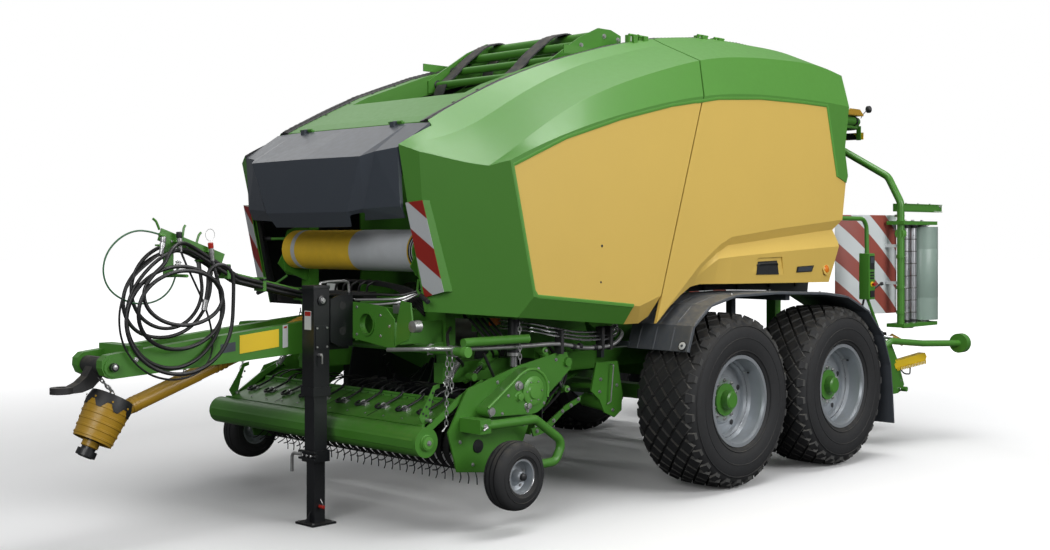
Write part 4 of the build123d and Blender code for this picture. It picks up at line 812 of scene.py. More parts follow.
# %% [markdown]
# ## Boards, badges and blank plates
# Red and white boards stand on the front facets, and light green rims frame the side inserts.  The plates and the
# badge carry nothing: they are blank.  A plate could be a patch of colour on the sheet, but a thin slab catches
# light at its edge.  The rims are swept along the seams, like the rolled edge of a pressed sheet.

# %% Warning boards
FACET_X, FACET_Y, FACET_Z = 1.3, -1.57, 2.11            # a corner of the facet
BOARD_INNER, BOARD_SLOPE = 0.792, 0.316                 # X of a board's inner edge, and how it leans back from there


def facet_y(x, z):
    """How far forward the front facet of a side hood lies."""
    return FACET_Y + (0.314 * (x - FACET_X) - 0.099 * (z - FACET_Z)) / 0.406


def board_y(x, z):
    """A board faces the road more than its facet does: only its inner edge touches the facet."""
    return facet_y(BOARD_INNER, z) - 0.003 + BOARD_SLOPE * (x - BOARD_INNER)


BOARD = [(0.79, 1.872), (0.9, 1.885), (0.93, 1.36), (0.8, 1.325)]
BOARD_WAY = Vector((0.293, -0.928, -0.226))
for side, sign in SIDES.items():
    shape = Shape(f"board_{side}", sign)
    face = [Vector((x, board_y(x, z), z)) for x, z in BOARD]
    foot = [shape.at((x, facet_y(x, z) + 0.004, z)) for x, z in BOARD]
    shape.rings([foot, [shape.at(p) for p in face]], green_panel, smooth=False)
    shape.slab([p + BOARD_WAY * 0.0005 for p in face], BOARD_WAY * 0.004, board_stripes)
    shape.done(f"hood_f{side[0]}")

# %% Plates on the drawbar
PIVOT = (-3.396, 0.988)                     # Y and Z of the drawbar's front pin
shape = Shape("drawbar_plates")
for y0, z0, y1, z1, tall, used in ((-2.612, 1.062, -2.345, 1.087, 0.052, safety_yellow),
                                   (-2.739, 1.045, -2.64, 1.054, 0.026, grey_panel),
                                   (-2.318, 1.092, -2.282, 1.096, 0.066, white_plastic)):
    shape.side_plate(0.1653, [(y0, z0 - tall), (y1, z1 - tall), (y1, z1 + tall), (y0, z0 + tall)], 0.0012, used)
shape.side_plate(0.1667, [(-2.31, 1.14), (-2.29, 1.142), (-2.29, 1.152), (-2.31, 1.15)], 0.0006, red_plastic)
shape.lathe(cap(0.006, (0, 0.013), (0.004, 0.013)), (0.1952, *PIVOT), LEFT, zinc, 24)
shape.lathe(cap(0.0295, (0, 0.0235), (0.028, 0.0235), (0.0295, 0.021)), (0.1656, *PIVOT), LEFT, black_paint, 28)
shape.lathe(hoop(0, 0.006, 0.022, 0.05), (0.1655, *PIVOT), LEFT, green_paint, 32)
for _ in shape.both():
    shape.side_bolts(0.1652, ((-3.26, 1.02), (-3.26, 1.07), (-1.66, 1.14), (-1.66, 1.175)), 0.011)
shape.done("chassis")

# %% Rims and marks on the inserts
RIM_LINES = {  # Y and Z along the upper edge of each insert and along its outer end
    "front": ([(-1.545, 2.083), (-1.1, 2.262), (-0.6, 2.407), (-0.1, 2.522), (0.2, 2.571)],
              [(-1.548, 2.085), (-1.374, 1.366), (-1.345, 1.331), (-0.486, 1.246)]),
    "rear": ([(0.16, 2.562), (0.4, 2.603), (0.9, 2.64), (1.4, 2.648), (1.742, 2.646)],
             [(1.745, 2.646), (1.885, 2.125)]),
}
RIM_SECTION = ((-0.004, -0.011), (-0.0015, -0.009), (0.0012, 0.004), (0.0008, 0.009), (-0.004, 0.012))
PANEL_X = 1.3
SKIRT_Y, SKIRT_Z = -1.384, 1.33             # a point on the line where the skirt starts to turn in
LAMP, LAMP_WAY = (1.2875, 1.744, 1.436), (1, 0, 0.12)


def side_x(y, z):
    """Where the outside of a side hood lies: flat, then turned in along the skirt."""
    return min(PANEL_X, PANEL_X - ((-0.055) * (y - SKIRT_Y) + (-0.58) * (z - SKIRT_Z)) / 0.8)


def leaning(x, outline):
    """Corners on the lower part of the rear insert, which leans in towards its lower edge."""
    return [(x - (1.44 - z) * 0.12, y, z) for y, z in outline]


for side, sign in SIDES.items():
    for end, lines in RIM_LINES.items():
        shape = Shape(f"insert_rim_{end}_{side}", sign)
        for line in lines:
            dense = []
            for (y0, z0), (y1, z1) in zip(line, line[1:]):
                dense += [(y0 + (y1 - y0) * k / 4, z0 + (z1 - z0) * k / 4) for k in range(4)]
            dense.append(line[-1])
            sections = []
            for i, (y, z) in enumerate(dense):
                ahead, behind = dense[min(i + 1, len(dense) - 1)], dense[max(i - 1, 0)]
                run = Vector((ahead[0] - behind[0], ahead[1] - behind[1])).normalized()
                x = side_x(y, z) if end == "front" else PANEL_X
                sections.append([shape.at((x + dx, y - run.y * w, z + run.x * w)) for dx, w in RIM_SECTION])
            shape.rings(sections, green_light)
        if end == "rear":   # a hand hole with its grip, a blank badge and the side lamp
            shape.side_plate(1.2855, [(0.85, 1.412), (0.87, 1.502), (1.1, 1.507), (1.125, 1.408)], 0.003, black_plastic)
            shape.tube([(1.287, 0.86, 1.475), (1.296, 0.875, 1.485), (1.297, 1.085, 1.488), (1.287, 1.105, 1.476)],
                       0.0075, black_plastic, 10)
            shape.lathe(cap(0.006, (0, 0.03), (0.005, 0.027)), (1.284, 0.985, 1.45), LEFT, black_plastic, 24)
            shape.slab(leaning(1.2905, [(1.345, 1.417), (1.352, 1.46), (1.568, 1.466), (1.548, 1.42)]),
                       (0.002, 0, 0), black_plastic)
            shape.slab(leaning(1.2925, [(1.362, 1.424), (1.366, 1.455), (1.55, 1.459), (1.538, 1.427)]),
                       (0.001, 0, 0), grey_panel)
            shape.lathe(cap(0.004, (0, 0.045), (0.003, 0.047), (0.004, 0.043)), LAMP, LAMP_WAY, yellow_panel, 28)
            shape.lathe(cap(0.014, (0.003, 0.03), (0.008, 0.028), (0.012, 0.018)), LAMP, LAMP_WAY, amber_plastic, 28)
        else:
            for y, z, radius in ((-0.78, 1.62, 0.009), (-0.79, 1.4, 0.007)):
                shape.lathe(cap(0.003, (0, radius), (0.002, radius - 0.001)), (1.2945, y, z), LEFT, black_plastic, 16)
        shape.done(f"hood_{end[0]}{side[0]}")

# %% [markdown]
# ## Seals, belts and the roof opening
# A ribbed rubber seal fills the gap beside the roof.  It is drawn as wide as the dark band there, so its black is
# partly the real seal and partly painted shade of the gap.  Two bale belts come up through the opening, turn over the
# roller at the top and go down again.  Ribs could be added one by one, but a section that is swept along a line, a
# little higher at every second step, gives them all at once.

# %% Seals
INNER_EDGE = [(-2.1, 2.155), (-1.6, 2.412), (-1.1, 2.642), (-0.6, 2.817), (-0.1, 2.955), (0.4, 3.06), (0.9, 3.118),
              (1.4, 3.13), (1.9, 3.112), (2.4, 3.07)]
SEAL_STEP = 0.02
BELT_LINE = [(-0.62, 2.35), (-0.54, 2.66), (-0.497, 2.765), (-0.4, 2.83), (-0.3, 2.925), (-0.1, 3.068),
             (0.02, 3.104), (0.075, 3.1065), (0.118, 3.08), (0.12, 3.04), (0.09, 3.012), (-0.02, 2.95),
             (-0.07, 2.8), (-0.08, 2.5)]
BELTS = ((-0.525, -0.425), (0.13, 0.25))    # the edges of each belt
OPENING_Y = -1.228                          # front edge of the roof opening


def edge_height(y):
    """Height of the side hood's inner edge."""
    for (y0, z0), (y1, z1) in zip(INNER_EDGE, INNER_EDGE[1:]):
        if y0 <= y <= y1:
            return z0 + (z1 - z0) * (y - y0) / (y1 - y0)


# the black strip is the real seal, drawn as wide as the dark gap beside the roof, so part of it is painted shade
for name, low, high, body in (("seal_and_gap_shade_front", -1.69, 1.285, "chassis"), ("seal_and_gap_shade_rear", 1.295, 2.075, "tailgate")):
    shape = Shape(name)
    count = int((high - low) / SEAL_STEP)
    for _ in shape.both():
        sections = []
        for k in range(count + 1):
            y = low + (high - low) * k / count
            z = edge_height(y) + (0.002 if k % 2 else -0.001)
            inner = 0.662 if y < 0.38 else 0.699    # wider beside the open part of the roof, painting more of the gap's shade
            sections.append([shape.at((x, y, z + dz)) for x, dz in
                             ((inner, -0.012), (inner, -0.005), (0.699, 0.0), (0.709, 0.006), (0.727, 0.006),
                              (0.736, 0.0), (0.736, -0.012))])
        shape.rings(sections, rubber)
    shape.done(body)

# %% Bale belts
shape = Shape("bale_belts")
path = rounded([(0, y, z) for y, z in BELT_LINE], 0.4, 5)
for x0, x1 in BELTS:
    sections = []
    for i, (p, out) in enumerate(outward(path)):
        thick = 0.004 if i % 2 else 0.0065
        sections.append([Vector((x, p.y, p.z)) + out * d for x, d in
                         ((x0, -0.004), (x0, thick), (x1, thick), (x1, -0.004))])
    shape.rings(sections, belt_rubber, smooth=False)
shape.done("chassis")

# %% Fittings on the roof
shape = Shape("roof_fittings")
for _ in shape.both():
    for y, z in ((-0.47, 2.765), (-0.32, 2.87), (-0.16, 2.975), (0.075, 3.06), (0.222, 3.05)):
        shape.bolt((0.5602, y, z), LEFT, 0.014)             # the rollers' ends
        shape.lathe(cap(0.008, (0, 0.036), (0.006, 0.036), (0.008, 0.03)), (0.547, y, z), (-1, 0, 0), black_paint, 24)
    for k in range(9):
        y = -1.4 + k * 0.2
        shape.lathe(cap(0.005, (0, 0.011), (0.003, 0.01)), (0.635, y, edge_height(y) - 0.009), (0, -0.42, 0.9),
                    black_plastic, 14)
top = edge_height(OPENING_Y)
for k in range(14):
    x = -0.52 + k * 0.08
    shape.bar((x, OPENING_Y, top - 0.03), (x, OPENING_Y + 0.014, top - 0.05), 0.006, zinc, 8)
shape.done("chassis")

# %% [markdown]
# ## Wheels
# Ten nuts hold each main rim to its hub.  The gauge wheels get ribbed tyres and five bolts.  A ribbed tyre is the
# same all round, so it needs no blocks: half a profile and its mirror image are turned in one go.

# %% Main wheels
GAUGE_X, GAUGE_Y, GAUGE_Z = GAUGE = (1.311, -1.55, 0.327)
GAUGE_HALF = [(-0.063, 0.1), (-0.075, 0.122), (-0.0725, 0.16), (-0.062, 0.18), (-0.05, 0.1905), (-0.0365, 0.1935),
              (-0.0355, 0.186), (-0.0285, 0.186), (-0.0275, 0.1955), (-0.005, 0.197), (-0.004, 0.1885)]
NUT_RADIUS, CAP_RADIUS, PLUG_RADIUS, VALVE_RADIUS = 0.128, 0.046, 0.205, 0.262   # circles round a main hub
VALVE_TURN = 0.7
for end, wheel_y in WHEEL_Y.items():
    for side, sign in SIDES.items():
        shape = Shape(f"rim_trim_{end}_{side}", sign)
        for c, s in circle(10, NUT_RADIUS, 0.5):        # wheel nuts and their studs
            at = (WHEEL_X + 0.085, wheel_y + c, WHEEL_Z + s)
            shape.bolt(at, LEFT, 0.0125)
            shape.bar(at, (WHEEL_X + 0.105, *at[1:]), 0.0065, zinc, 8)
        for c, s in circle(8, CAP_RADIUS):              # bolts of the hub cap
            shape.bolt((WHEEL_X + 0.15, wheel_y + c, WHEEL_Z + s), LEFT, 0.005, green_paint, washer=False)
        for c, s in circle(5, PLUG_RADIUS, 0.25):       # plugs in the rim's holes
            shape.lathe(cap(0.003, (0, 0.017), (0.0015, 0.019), (0.003, 0.016)),
                        (WHEEL_X + 0.0555, wheel_y + c, WHEEL_Z + s), LEFT, black_plastic, 20)
        valve = Vector((WHEEL_X + 0.1, wheel_y + VALVE_RADIUS * math.cos(VALVE_TURN),
                        WHEEL_Z + VALVE_RADIUS * math.sin(VALVE_TURN)))
        shape.bar(valve, valve + Vector((0.035, 0, 0)), 0.0045, zinc, 10)
        shape.bar(valve + Vector((0.03, 0, 0)), valve + Vector((0.045, 0, 0)), 0.0065, black_plastic, 10)
        for radius, x in ((0.296, 0.2135), (0.258, 0.088)):     # bright worn edges of the rim
            shape.lathe([(x - 0.002, radius - 0.003), (x + 0.0022, radius - 0.002), (x + 0.0022, radius + 0.002),
                         (x - 0.002, radius + 0.003)], (WHEEL_X, wheel_y, WHEEL_Z), LEFT, bright_steel, 72)
        shape.done(f"wheel_{end[0]}{side[0]}")

# %% Gauge wheels
for side, sign in SIDES.items():
    shape = Shape(f"gauge_tread_{side}", sign)
    shape.lathe(GAUGE_HALF + [(-x, r) for x, r in reversed(GAUGE_HALF)] + hoop(0.05, -0.05, 0.1, 0.15), GAUGE, LEFT,
                tyre_rubber, 72)
    for radius in (0.118, 0.148):
        for out in (-1, 1):
            shape.lathe([(out * 0.0735, radius - 0.002), (out * 0.0763, radius), (out * 0.0735, radius + 0.002),
                         (out * 0.072, radius)], GAUGE, LEFT, tyre_rubber, 60)
    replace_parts(shape.done(f"gauge_{side}"), f"gauge_tyre_{side}")
    shape = Shape(f"gauge_trim_{side}", sign)
    for k in range(5):
        a = TAU * k / 5 + 0.3
        shape.bolt((GAUGE_X + 0.0105, GAUGE_Y + 0.07 * math.cos(a), GAUGE_Z + 0.07 * math.sin(a)), LEFT, 0.0075)
    shape.lathe([(0.0, 0.022), (0.014, 0.021), (0.019, 0.014), (0.02, AXIS), (0, AXIS)],
                (GAUGE_X + 0.066, GAUGE_Y, GAUGE_Z), LEFT, black_plastic, 24)
    shape.lathe([(-0.003, 0.0935), (0.004, 0.0975), (0.004, 0.101), (-0.003, 0.101)],
                (GAUGE_X + 0.06, GAUGE_Y, GAUGE_Z), LEFT, bright_steel, 60)
    shape.done(f"gauge_{side}")

# %% [markdown]
# ## Wind guard, pickup and chains
# Ten hooked rods are clamped along the guard's sloped plate.  Long bent tines reach back over the pickup from its
# top edge.  Chains hold the guard's height, and a spring pulls on each side.  A rod could be drawn on the slope,
# but it is simpler to draw it level and let the maker's frame tilt it.  Links and coils are real, because one sees
# through them.

# %% Hooked rods
PLATE_RUN, PLATE_RISE = 0.28, 0.0935
RAILS = (0.63, 0.73)                        # a tine here would meet the frame when the guard is lifted


def guard_plate(share):
    """Y and Z on the sloped plate, from its front edge to its top edge."""
    return -1.9475 + share * PLATE_RUN, 0.614 + share * PLATE_RISE


shape = Shape("guard_hooks")
for n in range(10):
    shape.frame = (Matrix.Translation((-0.86 + n * 0.191, *guard_plate(0.5)))
                   @ Matrix.Rotation(math.atan2(PLATE_RISE, PLATE_RUN), 4, "X"))
    shape.box((-0.03, -0.02, 0.001), (0.03, 0.02, 0.009), zinc, 0.0015)
    shape.tube([(-0.008, -0.012, 0.008), (-0.008, -0.012, 0.022), (-0.004, 0.0, 0.028), (0.0, 0.012, 0.022),
                (0.0, 0.012, 0.008)], 0.0045, zinc, 8)
    for dx in (-0.02, 0.02):
        shape.bolt((dx, 0, 0.009), UP, 0.0095)
    shape.tube([(-0.055, 0.01, 0.015), (-0.05, -0.03, 0.015), (-0.02, -0.045, 0.015), (0.0, -0.02, 0.015),
                (0.004, 0.06, 0.016), (0.006, 0.125, 0.02), (0.004, 0.16, 0.036)], 0.0072, black_paint, 8)
shape.frame = Matrix()
(y0, z0), (y1, z1) = guard_plate(0.05), guard_plate(0.97)
for x in (-0.47, 0.0, 0.47):
    shape.slab([(x - 0.0015, y0, z0 + 0.004), (x + 0.0015, y0, z0 + 0.004), (x + 0.0015, y1, z1 + 0.004),
                (x - 0.0015, y1, z1 + 0.004)], (0, 0, 0.0015), black_plastic)
y, z = guard_plate(0.13)
for k in range(12):
    shape.bolt((-0.93 + k * 0.169, y, z + 0.0045), (0, -0.31, 0.95), 0.006, washer=False)
shape.done("wind_guard")

# %% Tines of the wind guard
shape = Shape("guard_tines")
for n in range(25):
    x = -0.9 + n * 0.075
    lift = 0.01 * math.sin(n * 2.3)
    line = [(x, -1.672, 0.708), (x, -1.62, 0.745 + lift), (x + 0.004, -1.56, 0.765 + lift),
            (x + 0.006, -1.48, 0.768 + lift), (x + 0.006, -1.41, 0.75 + lift)]
    shape.tube(line[:2] if RAILS[0] < abs(x) < RAILS[1] else line, 0.0045, black_paint, 6)
shape.bar((-0.955, -1.663, 0.727), (0.955, -1.663, 0.727), 0.009, green_paint, 12)
shape.done("wind_guard")

# %% Ends of the wind guard
shape = Shape("guard_ends")
for _ in shape.both():
    shape.lathe(cap(0.022, (0, 0.045), (0.006, 0.045), (0.008, 0.036), (0.02, 0.034)), (1.041, -1.97, 0.528), LEFT,
                green_light, 30)
    shape.bolt((1.0625, -1.97, 0.528), LEFT, 0.012)
    shape.side_plate(0.955, [(-1.93, 0.62), (-1.955, 0.66), (-1.9, 0.74), (-1.845, 0.83), (-1.8, 0.838), (-1.8, 0.815),
                             (-1.835, 0.805), (-1.865, 0.73), (-1.89, 0.64)], 0.006, green_paint)
    for k in range(4):
        y, z = -1.915 + k * 0.024, 0.672 + k * 0.037
        for dy in (-0.01, 0.012):
            shape.lathe(cap(0.0012, (0, 0.0075), (0.0012, 0.0075)), (0.9612, y + dy, z - dy * 0.6), LEFT,
                        black_plastic, 12)
    shape.bar((0.93, -1.9, 0.64), (1.0, -1.9, 0.64), 0.01, zinc, 12)
shape.done("wind_guard")

# %% Chains and springs
ROD_Y, ROD_Z = -1.76, 1.025                 # the cross rod that the chains hang from
shape = Shape("chains_and_springs")
shape.chain((1.008, -1.785, 0.995), (1.0, -1.785, 0.6))
shape.chain((1.05, -1.785, 0.995), (1.045, -1.785, 0.79))
shape.tube([(1.0, -1.785, 0.602), (1.0, -1.8, 0.585), (1.0, -1.82, 0.57)], 0.005, zinc, 8)
shape.chain((-0.985, -1.785, 0.995), (-0.965, -1.9, 0.655))
for _ in shape.both():
    shape.spring((0.84, -1.53, 0.955), (0.84, -1.66, 0.8), 0.017, 0.0035, 13)
    shape.bar((0.84, -1.545, 0.955), (0.84, -1.62, 1.01), 0.006, zinc, 8)
    shape.bar((1.12, ROD_Y, ROD_Z), (1.158, ROD_Y, ROD_Z), 0.031, green_light, 20)
for x in (1.008, 1.05, -0.985, 0.84, -0.84):
    shape.lathe(hoop(-0.006, 0.006, 0.0262, 0.032), (x, ROD_Y, ROD_Z), LEFT, zinc, 20)
    shape.bar((x, -1.77, 1.0), (x, -1.788, 0.995), 0.005, zinc, 8)
shape.done("chassis")

# %% Tines of the pickup reel
shape = Shape("reel_tine_ends")
for row in range(5):
    for n in range(28):
        line = []
        for reach, drag in ((0.213, 0.0), (0.232, -0.02), (0.253, -0.07 - 0.03 * math.sin(n * 1.9 + row))):
            angle = TAU * row / 5 + drag
            line.append(((n - 13.5) * 0.07, -1.56 + reach * math.cos(angle), 0.462 + reach * math.sin(angle)))
        shape.tube(line, 0.0034, black_paint, 6)
shape.done("reel")

# %% Sides of the pickup
shape = Shape("pickup_trim")
shape.side_bolts(1.1122, ((-1.328, 0.8), (-1.262, 0.878), (-1.148, 0.888), (-1.065, 0.8), (-1.1, 0.68), (-1.24, 0.643),
                          (-1.45, 0.648), (-1.545, 0.645), (-1.4, 0.748)), 0.008)
COVER = (1.1123, -1.195, 0.76)
shape.lathe(cap(0.026, (0, 0.088), (0.007, 0.088), (0.014, 0.076), (0.014, 0.05), (0.024, 0.044)), COVER, LEFT,
            green_light, 40)
shape.side_bolts(1.1264, [(COVER[1] + c, COVER[2] + s) for c, s in circle(6, 0.062)], 0.0055, washer=False)
shape.lathe(cap(0.013, (0, 0.026), (0.012, 0.024)), (1.1123, -1.54, 0.668), LEFT, zinc, 24)
for y, z, radius, used in ((-1.315, 0.8, 0.02, zinc), (-1.31, 0.735, 0.022, green_light), (-1.24, 0.675, 0.018, zinc)):
    shape.lathe(cap(0.022, (0, radius * 1.5), (0.004, radius * 1.4), (0.005, radius), (0.02, radius)), (1.1123, y, z),
                LEFT, used, 24)
shape.tube([(1.1135, y, z) for y, z in
            ((-1.565, 0.69), (-1.45, 0.765), (-1.3, 0.865), (-1.235, 0.892), (-1.165, 0.888), (-1.1, 0.848),
             (-1.065, 0.785), (-1.07, 0.715))], 0.009, green_light, 10)
for _ in shape.both():
    shape.side_bolts(1.0223, ((-1.7, 0.5), (-1.6, 0.36), (-1.3, 0.4), (-1.18, 0.55), (-0.9, 0.92), (-1.4, 0.82)), 0.009)
    shape.lathe(cap(0.009, (0, 0.04), (0.007, 0.038)), (1.0222, -1.56, 0.462), LEFT, black_paint, 28)
    shape.tube([(1.03, -1.44, 0.86), (1.05, -1.5, 0.93), (1.05, -1.54, 1.0)], 0.009, rubber, 8)
    shape.bar((1.14, -1.66, 0.6), (1.2, -1.66, 0.6), 0.016, zinc, 14)
    shape.tube([(1.2, -1.66, 0.6), (1.215, -1.66, 0.6), (1.218, -1.7, 0.585)], 0.005, zinc, 8)
shape.done("pickup")

# %% [markdown]
# ## Jack and drive shaft
# The jack gets its crank, red-tipped pin and blank label.  The drive shaft's guard has rings, a black collar cut
# in teeth and chains.  The shaft slants, so its rings are turned round the line between its two ends, with no
# angle to work out.  The teeth could be cut from a tube, but a ring whose lower edge steps up and down needs no
# cutting.

# %% Jack
JACK_X, JACK_Y = 0.3, -2.18
PIN_Z = 0.405                               # the jack's lower cross pin
shape = Shape("jack_trim")
shape.box((JACK_X - 0.059, JACK_Y - 0.059, 1.372), (JACK_X + 0.059, JACK_Y + 0.059, 1.392), black_plastic, 0.004)
# the gear boss, the crank with its handle, labels, and the side plate with its bolts
shape.lathe(cap(0.012, (0, 0.03), (0.008, 0.03), (0.012, 0.02)), (0.3563, JACK_Y, 1.305), LEFT, black_paint, 28)
shape.bolt((0.3685, JACK_Y, 1.305), LEFT, 0.014)
shape.tube([(JACK_X, y, z) for y, z in
            ((-2.15, 1.392), (-2.145, 1.405), (-2.09, 1.412), (-1.965, 1.412), (-1.94, 1.4), (-1.935, 1.34))],
           0.0085, zinc, 12)
shape.bar((JACK_X, -1.935, 1.345), (JACK_X, -1.935, 1.265), 0.015, black_plastic, 16)
shape.front_plate(-2.2364, oblong(0.268, 1.135, 0.332, 1.245), -0.001, white_plastic)
shape.front_plate(-2.2376, oblong(0.272, 1.215, 0.328, 1.24), -0.0005, red_plastic)
shape.side_plate(0.3564, oblong(-2.225, 1.02, -2.135, 1.16), 0.004, black_paint)
shape.side_bolts(0.3606, ((-2.215, 1.035), (-2.145, 1.035), (-2.215, 1.145), (-2.145, 1.145)), 0.0065, washer=False)
shape.bar((0.345, -2.2, 0.99), (0.385, -2.2, 0.99), 0.009, zinc, 12)
shape.tube([(0.385, -2.2, 0.99), (0.39, -2.2, 0.985), (0.39, -2.2, 0.94)], 0.005, zinc, 8)
# the clamp above the foot, its bolts and its bent rod
for z in (0.385, 0.425):
    shape.box((JACK_X - 0.078, JACK_Y - 0.07, z - 0.006), (JACK_X + 0.078, JACK_Y - 0.046, z + 0.006), black_paint)
for dx in (-0.03, 0.012, 0.05):
    shape.bolt((JACK_X + dx, JACK_Y - 0.0702, PIN_Z), FRONT, 0.009, washer=False)
shape.bar((JACK_X - 0.045, JACK_Y - 0.058, PIN_Z), (JACK_X + 0.085, JACK_Y - 0.058, PIN_Z), 0.012, black_paint, 14)
shape.tube([(JACK_X - 0.04, JACK_Y - 0.058, PIN_Z), (JACK_X - 0.13, JACK_Y - 0.062, PIN_Z),
            (JACK_X - 0.145, JACK_Y - 0.064, 0.39), (JACK_X - 0.147, JACK_Y - 0.064, 0.295)], 0.0095, zinc, 12)
shape.side_plate(0.348, [(-1.955, 1.2), (-1.955, 1.335), (-2.05, 1.335), (-2.118, 1.31), (-2.118, 1.06), (-2.05, 1.03),
                         (-1.955, 1.03)], 0.012, black_paint)
for z in (1.27, 1.12):
    shape.lathe(cap(0.0012, (0, 0.024), (0.0012, 0.024)), (0.3602, -2.03, z), LEFT, cast_iron, 24)
shape.done("chassis")

# %% Foot of the jack
shape = Shape("jack_foot_trim")
shape.bar((0.338, JACK_Y, 0.105), (0.378, JACK_Y, 0.105), 0.0105, red_plastic, 14)
shape.tube([(0.372, -2.18, 0.105), (0.376, -2.185, 0.125), (0.36, -2.19, 0.15)], 0.0025, zinc, 6)
for dx in (-0.07, 0.07):
    for dy in (-0.07, 0.07):
        shape.bolt((JACK_X + dx, JACK_Y + dy, 0.0122), UP, 0.007, washer=False)
shape.done("jack")

# %% Guard of the drive shaft
SHAFT_LOW, SHAFT_HIGH = Vector((0, -3.225, 0.745)), Vector((0, -2.034, 1.1602))
BELL_TOP, BELL_WAY = Vector((0, -3.318, 0.79)), Vector((0, -0.47, -0.883)).normalized()
shaft_way = (SHAFT_HIGH - SHAFT_LOW).normalized()
reach = (SHAFT_HIGH - SHAFT_LOW).length
shape = Shape("shaft_guard_trim")
for share in (0.03, 0.05, 0.46, 0.485, 0.51, 0.94, 0.965):
    shape.lathe([(0, 0.0415), (0.001, 0.046), (0.008, 0.046), (0.009, 0.0415)], SHAFT_LOW + shaft_way * reach * share,
                shaft_way, ochre_plastic)
shape.lathe([(0, 0.0422), (0.002, 0.0445), (0.45, 0.0445), (0.452, 0.0422)], SHAFT_LOW + shaft_way * 0.02, shaft_way,
            ochre_plastic)
for away, radius in ((0.045, 0.1245), (0.085, 0.1215), (0.125, 0.118), (0.165, 0.1145), (0.205, 0.111)):
    shape.lathe([(0, radius - 0.004), (0.003, radius + 0.0005), (0.012, radius + 0.0005), (0.016, radius - 0.004)],
                BELL_TOP + BELL_WAY * away, BELL_WAY, ochre_plastic, 40)
turn = placed(BELL_TOP, BELL_WAY)
teeth = []
for k, (c, s) in enumerate(circle(32, 1)):
    low = 0.062 if k % 4 in (0, 1) else 0.028
    teeth.append([turn @ Vector((r * c, r * s, z)) for r, z in
                  ((0.11, -0.024), (0.1145, -0.024), (0.127, 0.028), (0.1275, low), (0.1235, low), (0.122, 0.028))])
shape.rings(teeth, black_plastic, closed=True, smooth=False)
shape.lathe([(-0.026, 0.03), (-0.026, 0.108), (-0.02, 0.114), (-0.012, 0.112), (-0.016, 0.03)], BELL_TOP, BELL_WAY,
            black_plastic)
for c, s in circle(8, 1, 0.5):
    shape.bolt(turn @ Vector((0.1265 * c, 0.1265 * s, 0.016)), turn.to_3x3() @ Vector((c, s, 0)), 0.006, ochre_plastic,
               washer=False)
shape.lathe([(0, 0.0385), (0.0, 0.047), (0.03, 0.047), (0.034, 0.0385)], BELL_TOP + BELL_WAY * 0.235, BELL_WAY,
            ochre_plastic, 28)
for start, end in (((0.03, -3.41, 0.93), (0.05, -3.33, 0.845)), ((-0.06, -3.36, 0.925), (-0.03, -3.27, 0.8)),
                   ((0.1, -2.92, 0.955), (0.04, -2.9, 0.885))):
    shape.chain(start, end, 0.024, 0.003, 0.0075)
shape.done("chassis")

# %% [markdown]
# ## Behind the jack
# Brackets, valves, bent pipes and short hoses fill the space between the drawbar and the chamber.  They are half
# hidden, so plain plates, bars and tubes are enough.  One bracket has a bored hole.  A boolean could cut it, but
# filling the outline and the hole together leaves cleaner faces.

# %% Brackets
shape = Shape("front_brackets")
hole = [(0.498 + c, 1.165 + s) for c, s in circle(28, 0.062)]
shape.pierced([(0.36, 1.075), (0.74, 1.03), (0.74, 1.2), (0.66, 1.27), (0.5, 1.285), (0.36, 1.29)], [hole],
              (0, -1.944, 0), 0.01, green_paint)
shape.lathe(hoop(-0.02, 0.02, 0.062, 0.07), (0.498, -1.944, 1.165), (0, 1, 0), green_paint, 40)
shape.box((0.36, -1.94, 1.06), (0.37, -1.74, 1.24), green_paint)
shape.box((0.7, -1.94, 1.05), (0.71, -1.56, 1.18), green_paint)
for x, z in ((0.62, 1.1), (0.62, 1.22), (0.4, 1.1), (0.4, 1.26), (0.7, 1.16)):
    shape.bolt((x, -1.9502, z), FRONT, 0.01)
for _ in shape.both():
    shape.tube([(0.68, -1.52, 1.3), (0.6, -1.6, 1.34), (0.45, -1.7, 1.3), (0.2, -1.76, 1.27)], 0.016, green_paint, 12)
    shape.side_plate(0.6625, [(-1.77, 1.5), (-1.7, 1.43), (-1.55, 1.4), (-1.55, 1.46), (-1.67, 1.5), (-1.735, 1.56)],
                     0.008, green_paint)
    shape.box((0.64, -1.71, 1.655), (0.69, -1.545, 1.672), green_paint)
    shape.bar((0.665, -1.66, 1.662), (0.8, -1.74, 1.662), 0.01, green_paint, 12)
    shape.bar((0.79, -1.735, 1.662), (0.9, -1.8, 1.662), 0.015, black_plastic, 14)
    shape.tube([(0.66, -1.7, 1.42), (0.72, -1.76, 1.36), (0.78, -1.78, 1.33)], 0.008, green_paint, 10)
    shape.bar((0.77, -1.777, 1.335), (0.86, -1.8, 1.3), 0.014, black_plastic, 14)
shape.front_plate(-1.5415, oblong(-0.44, 1.3, -0.33, 1.37), -0.001, white_plastic)
shape.done("chassis")

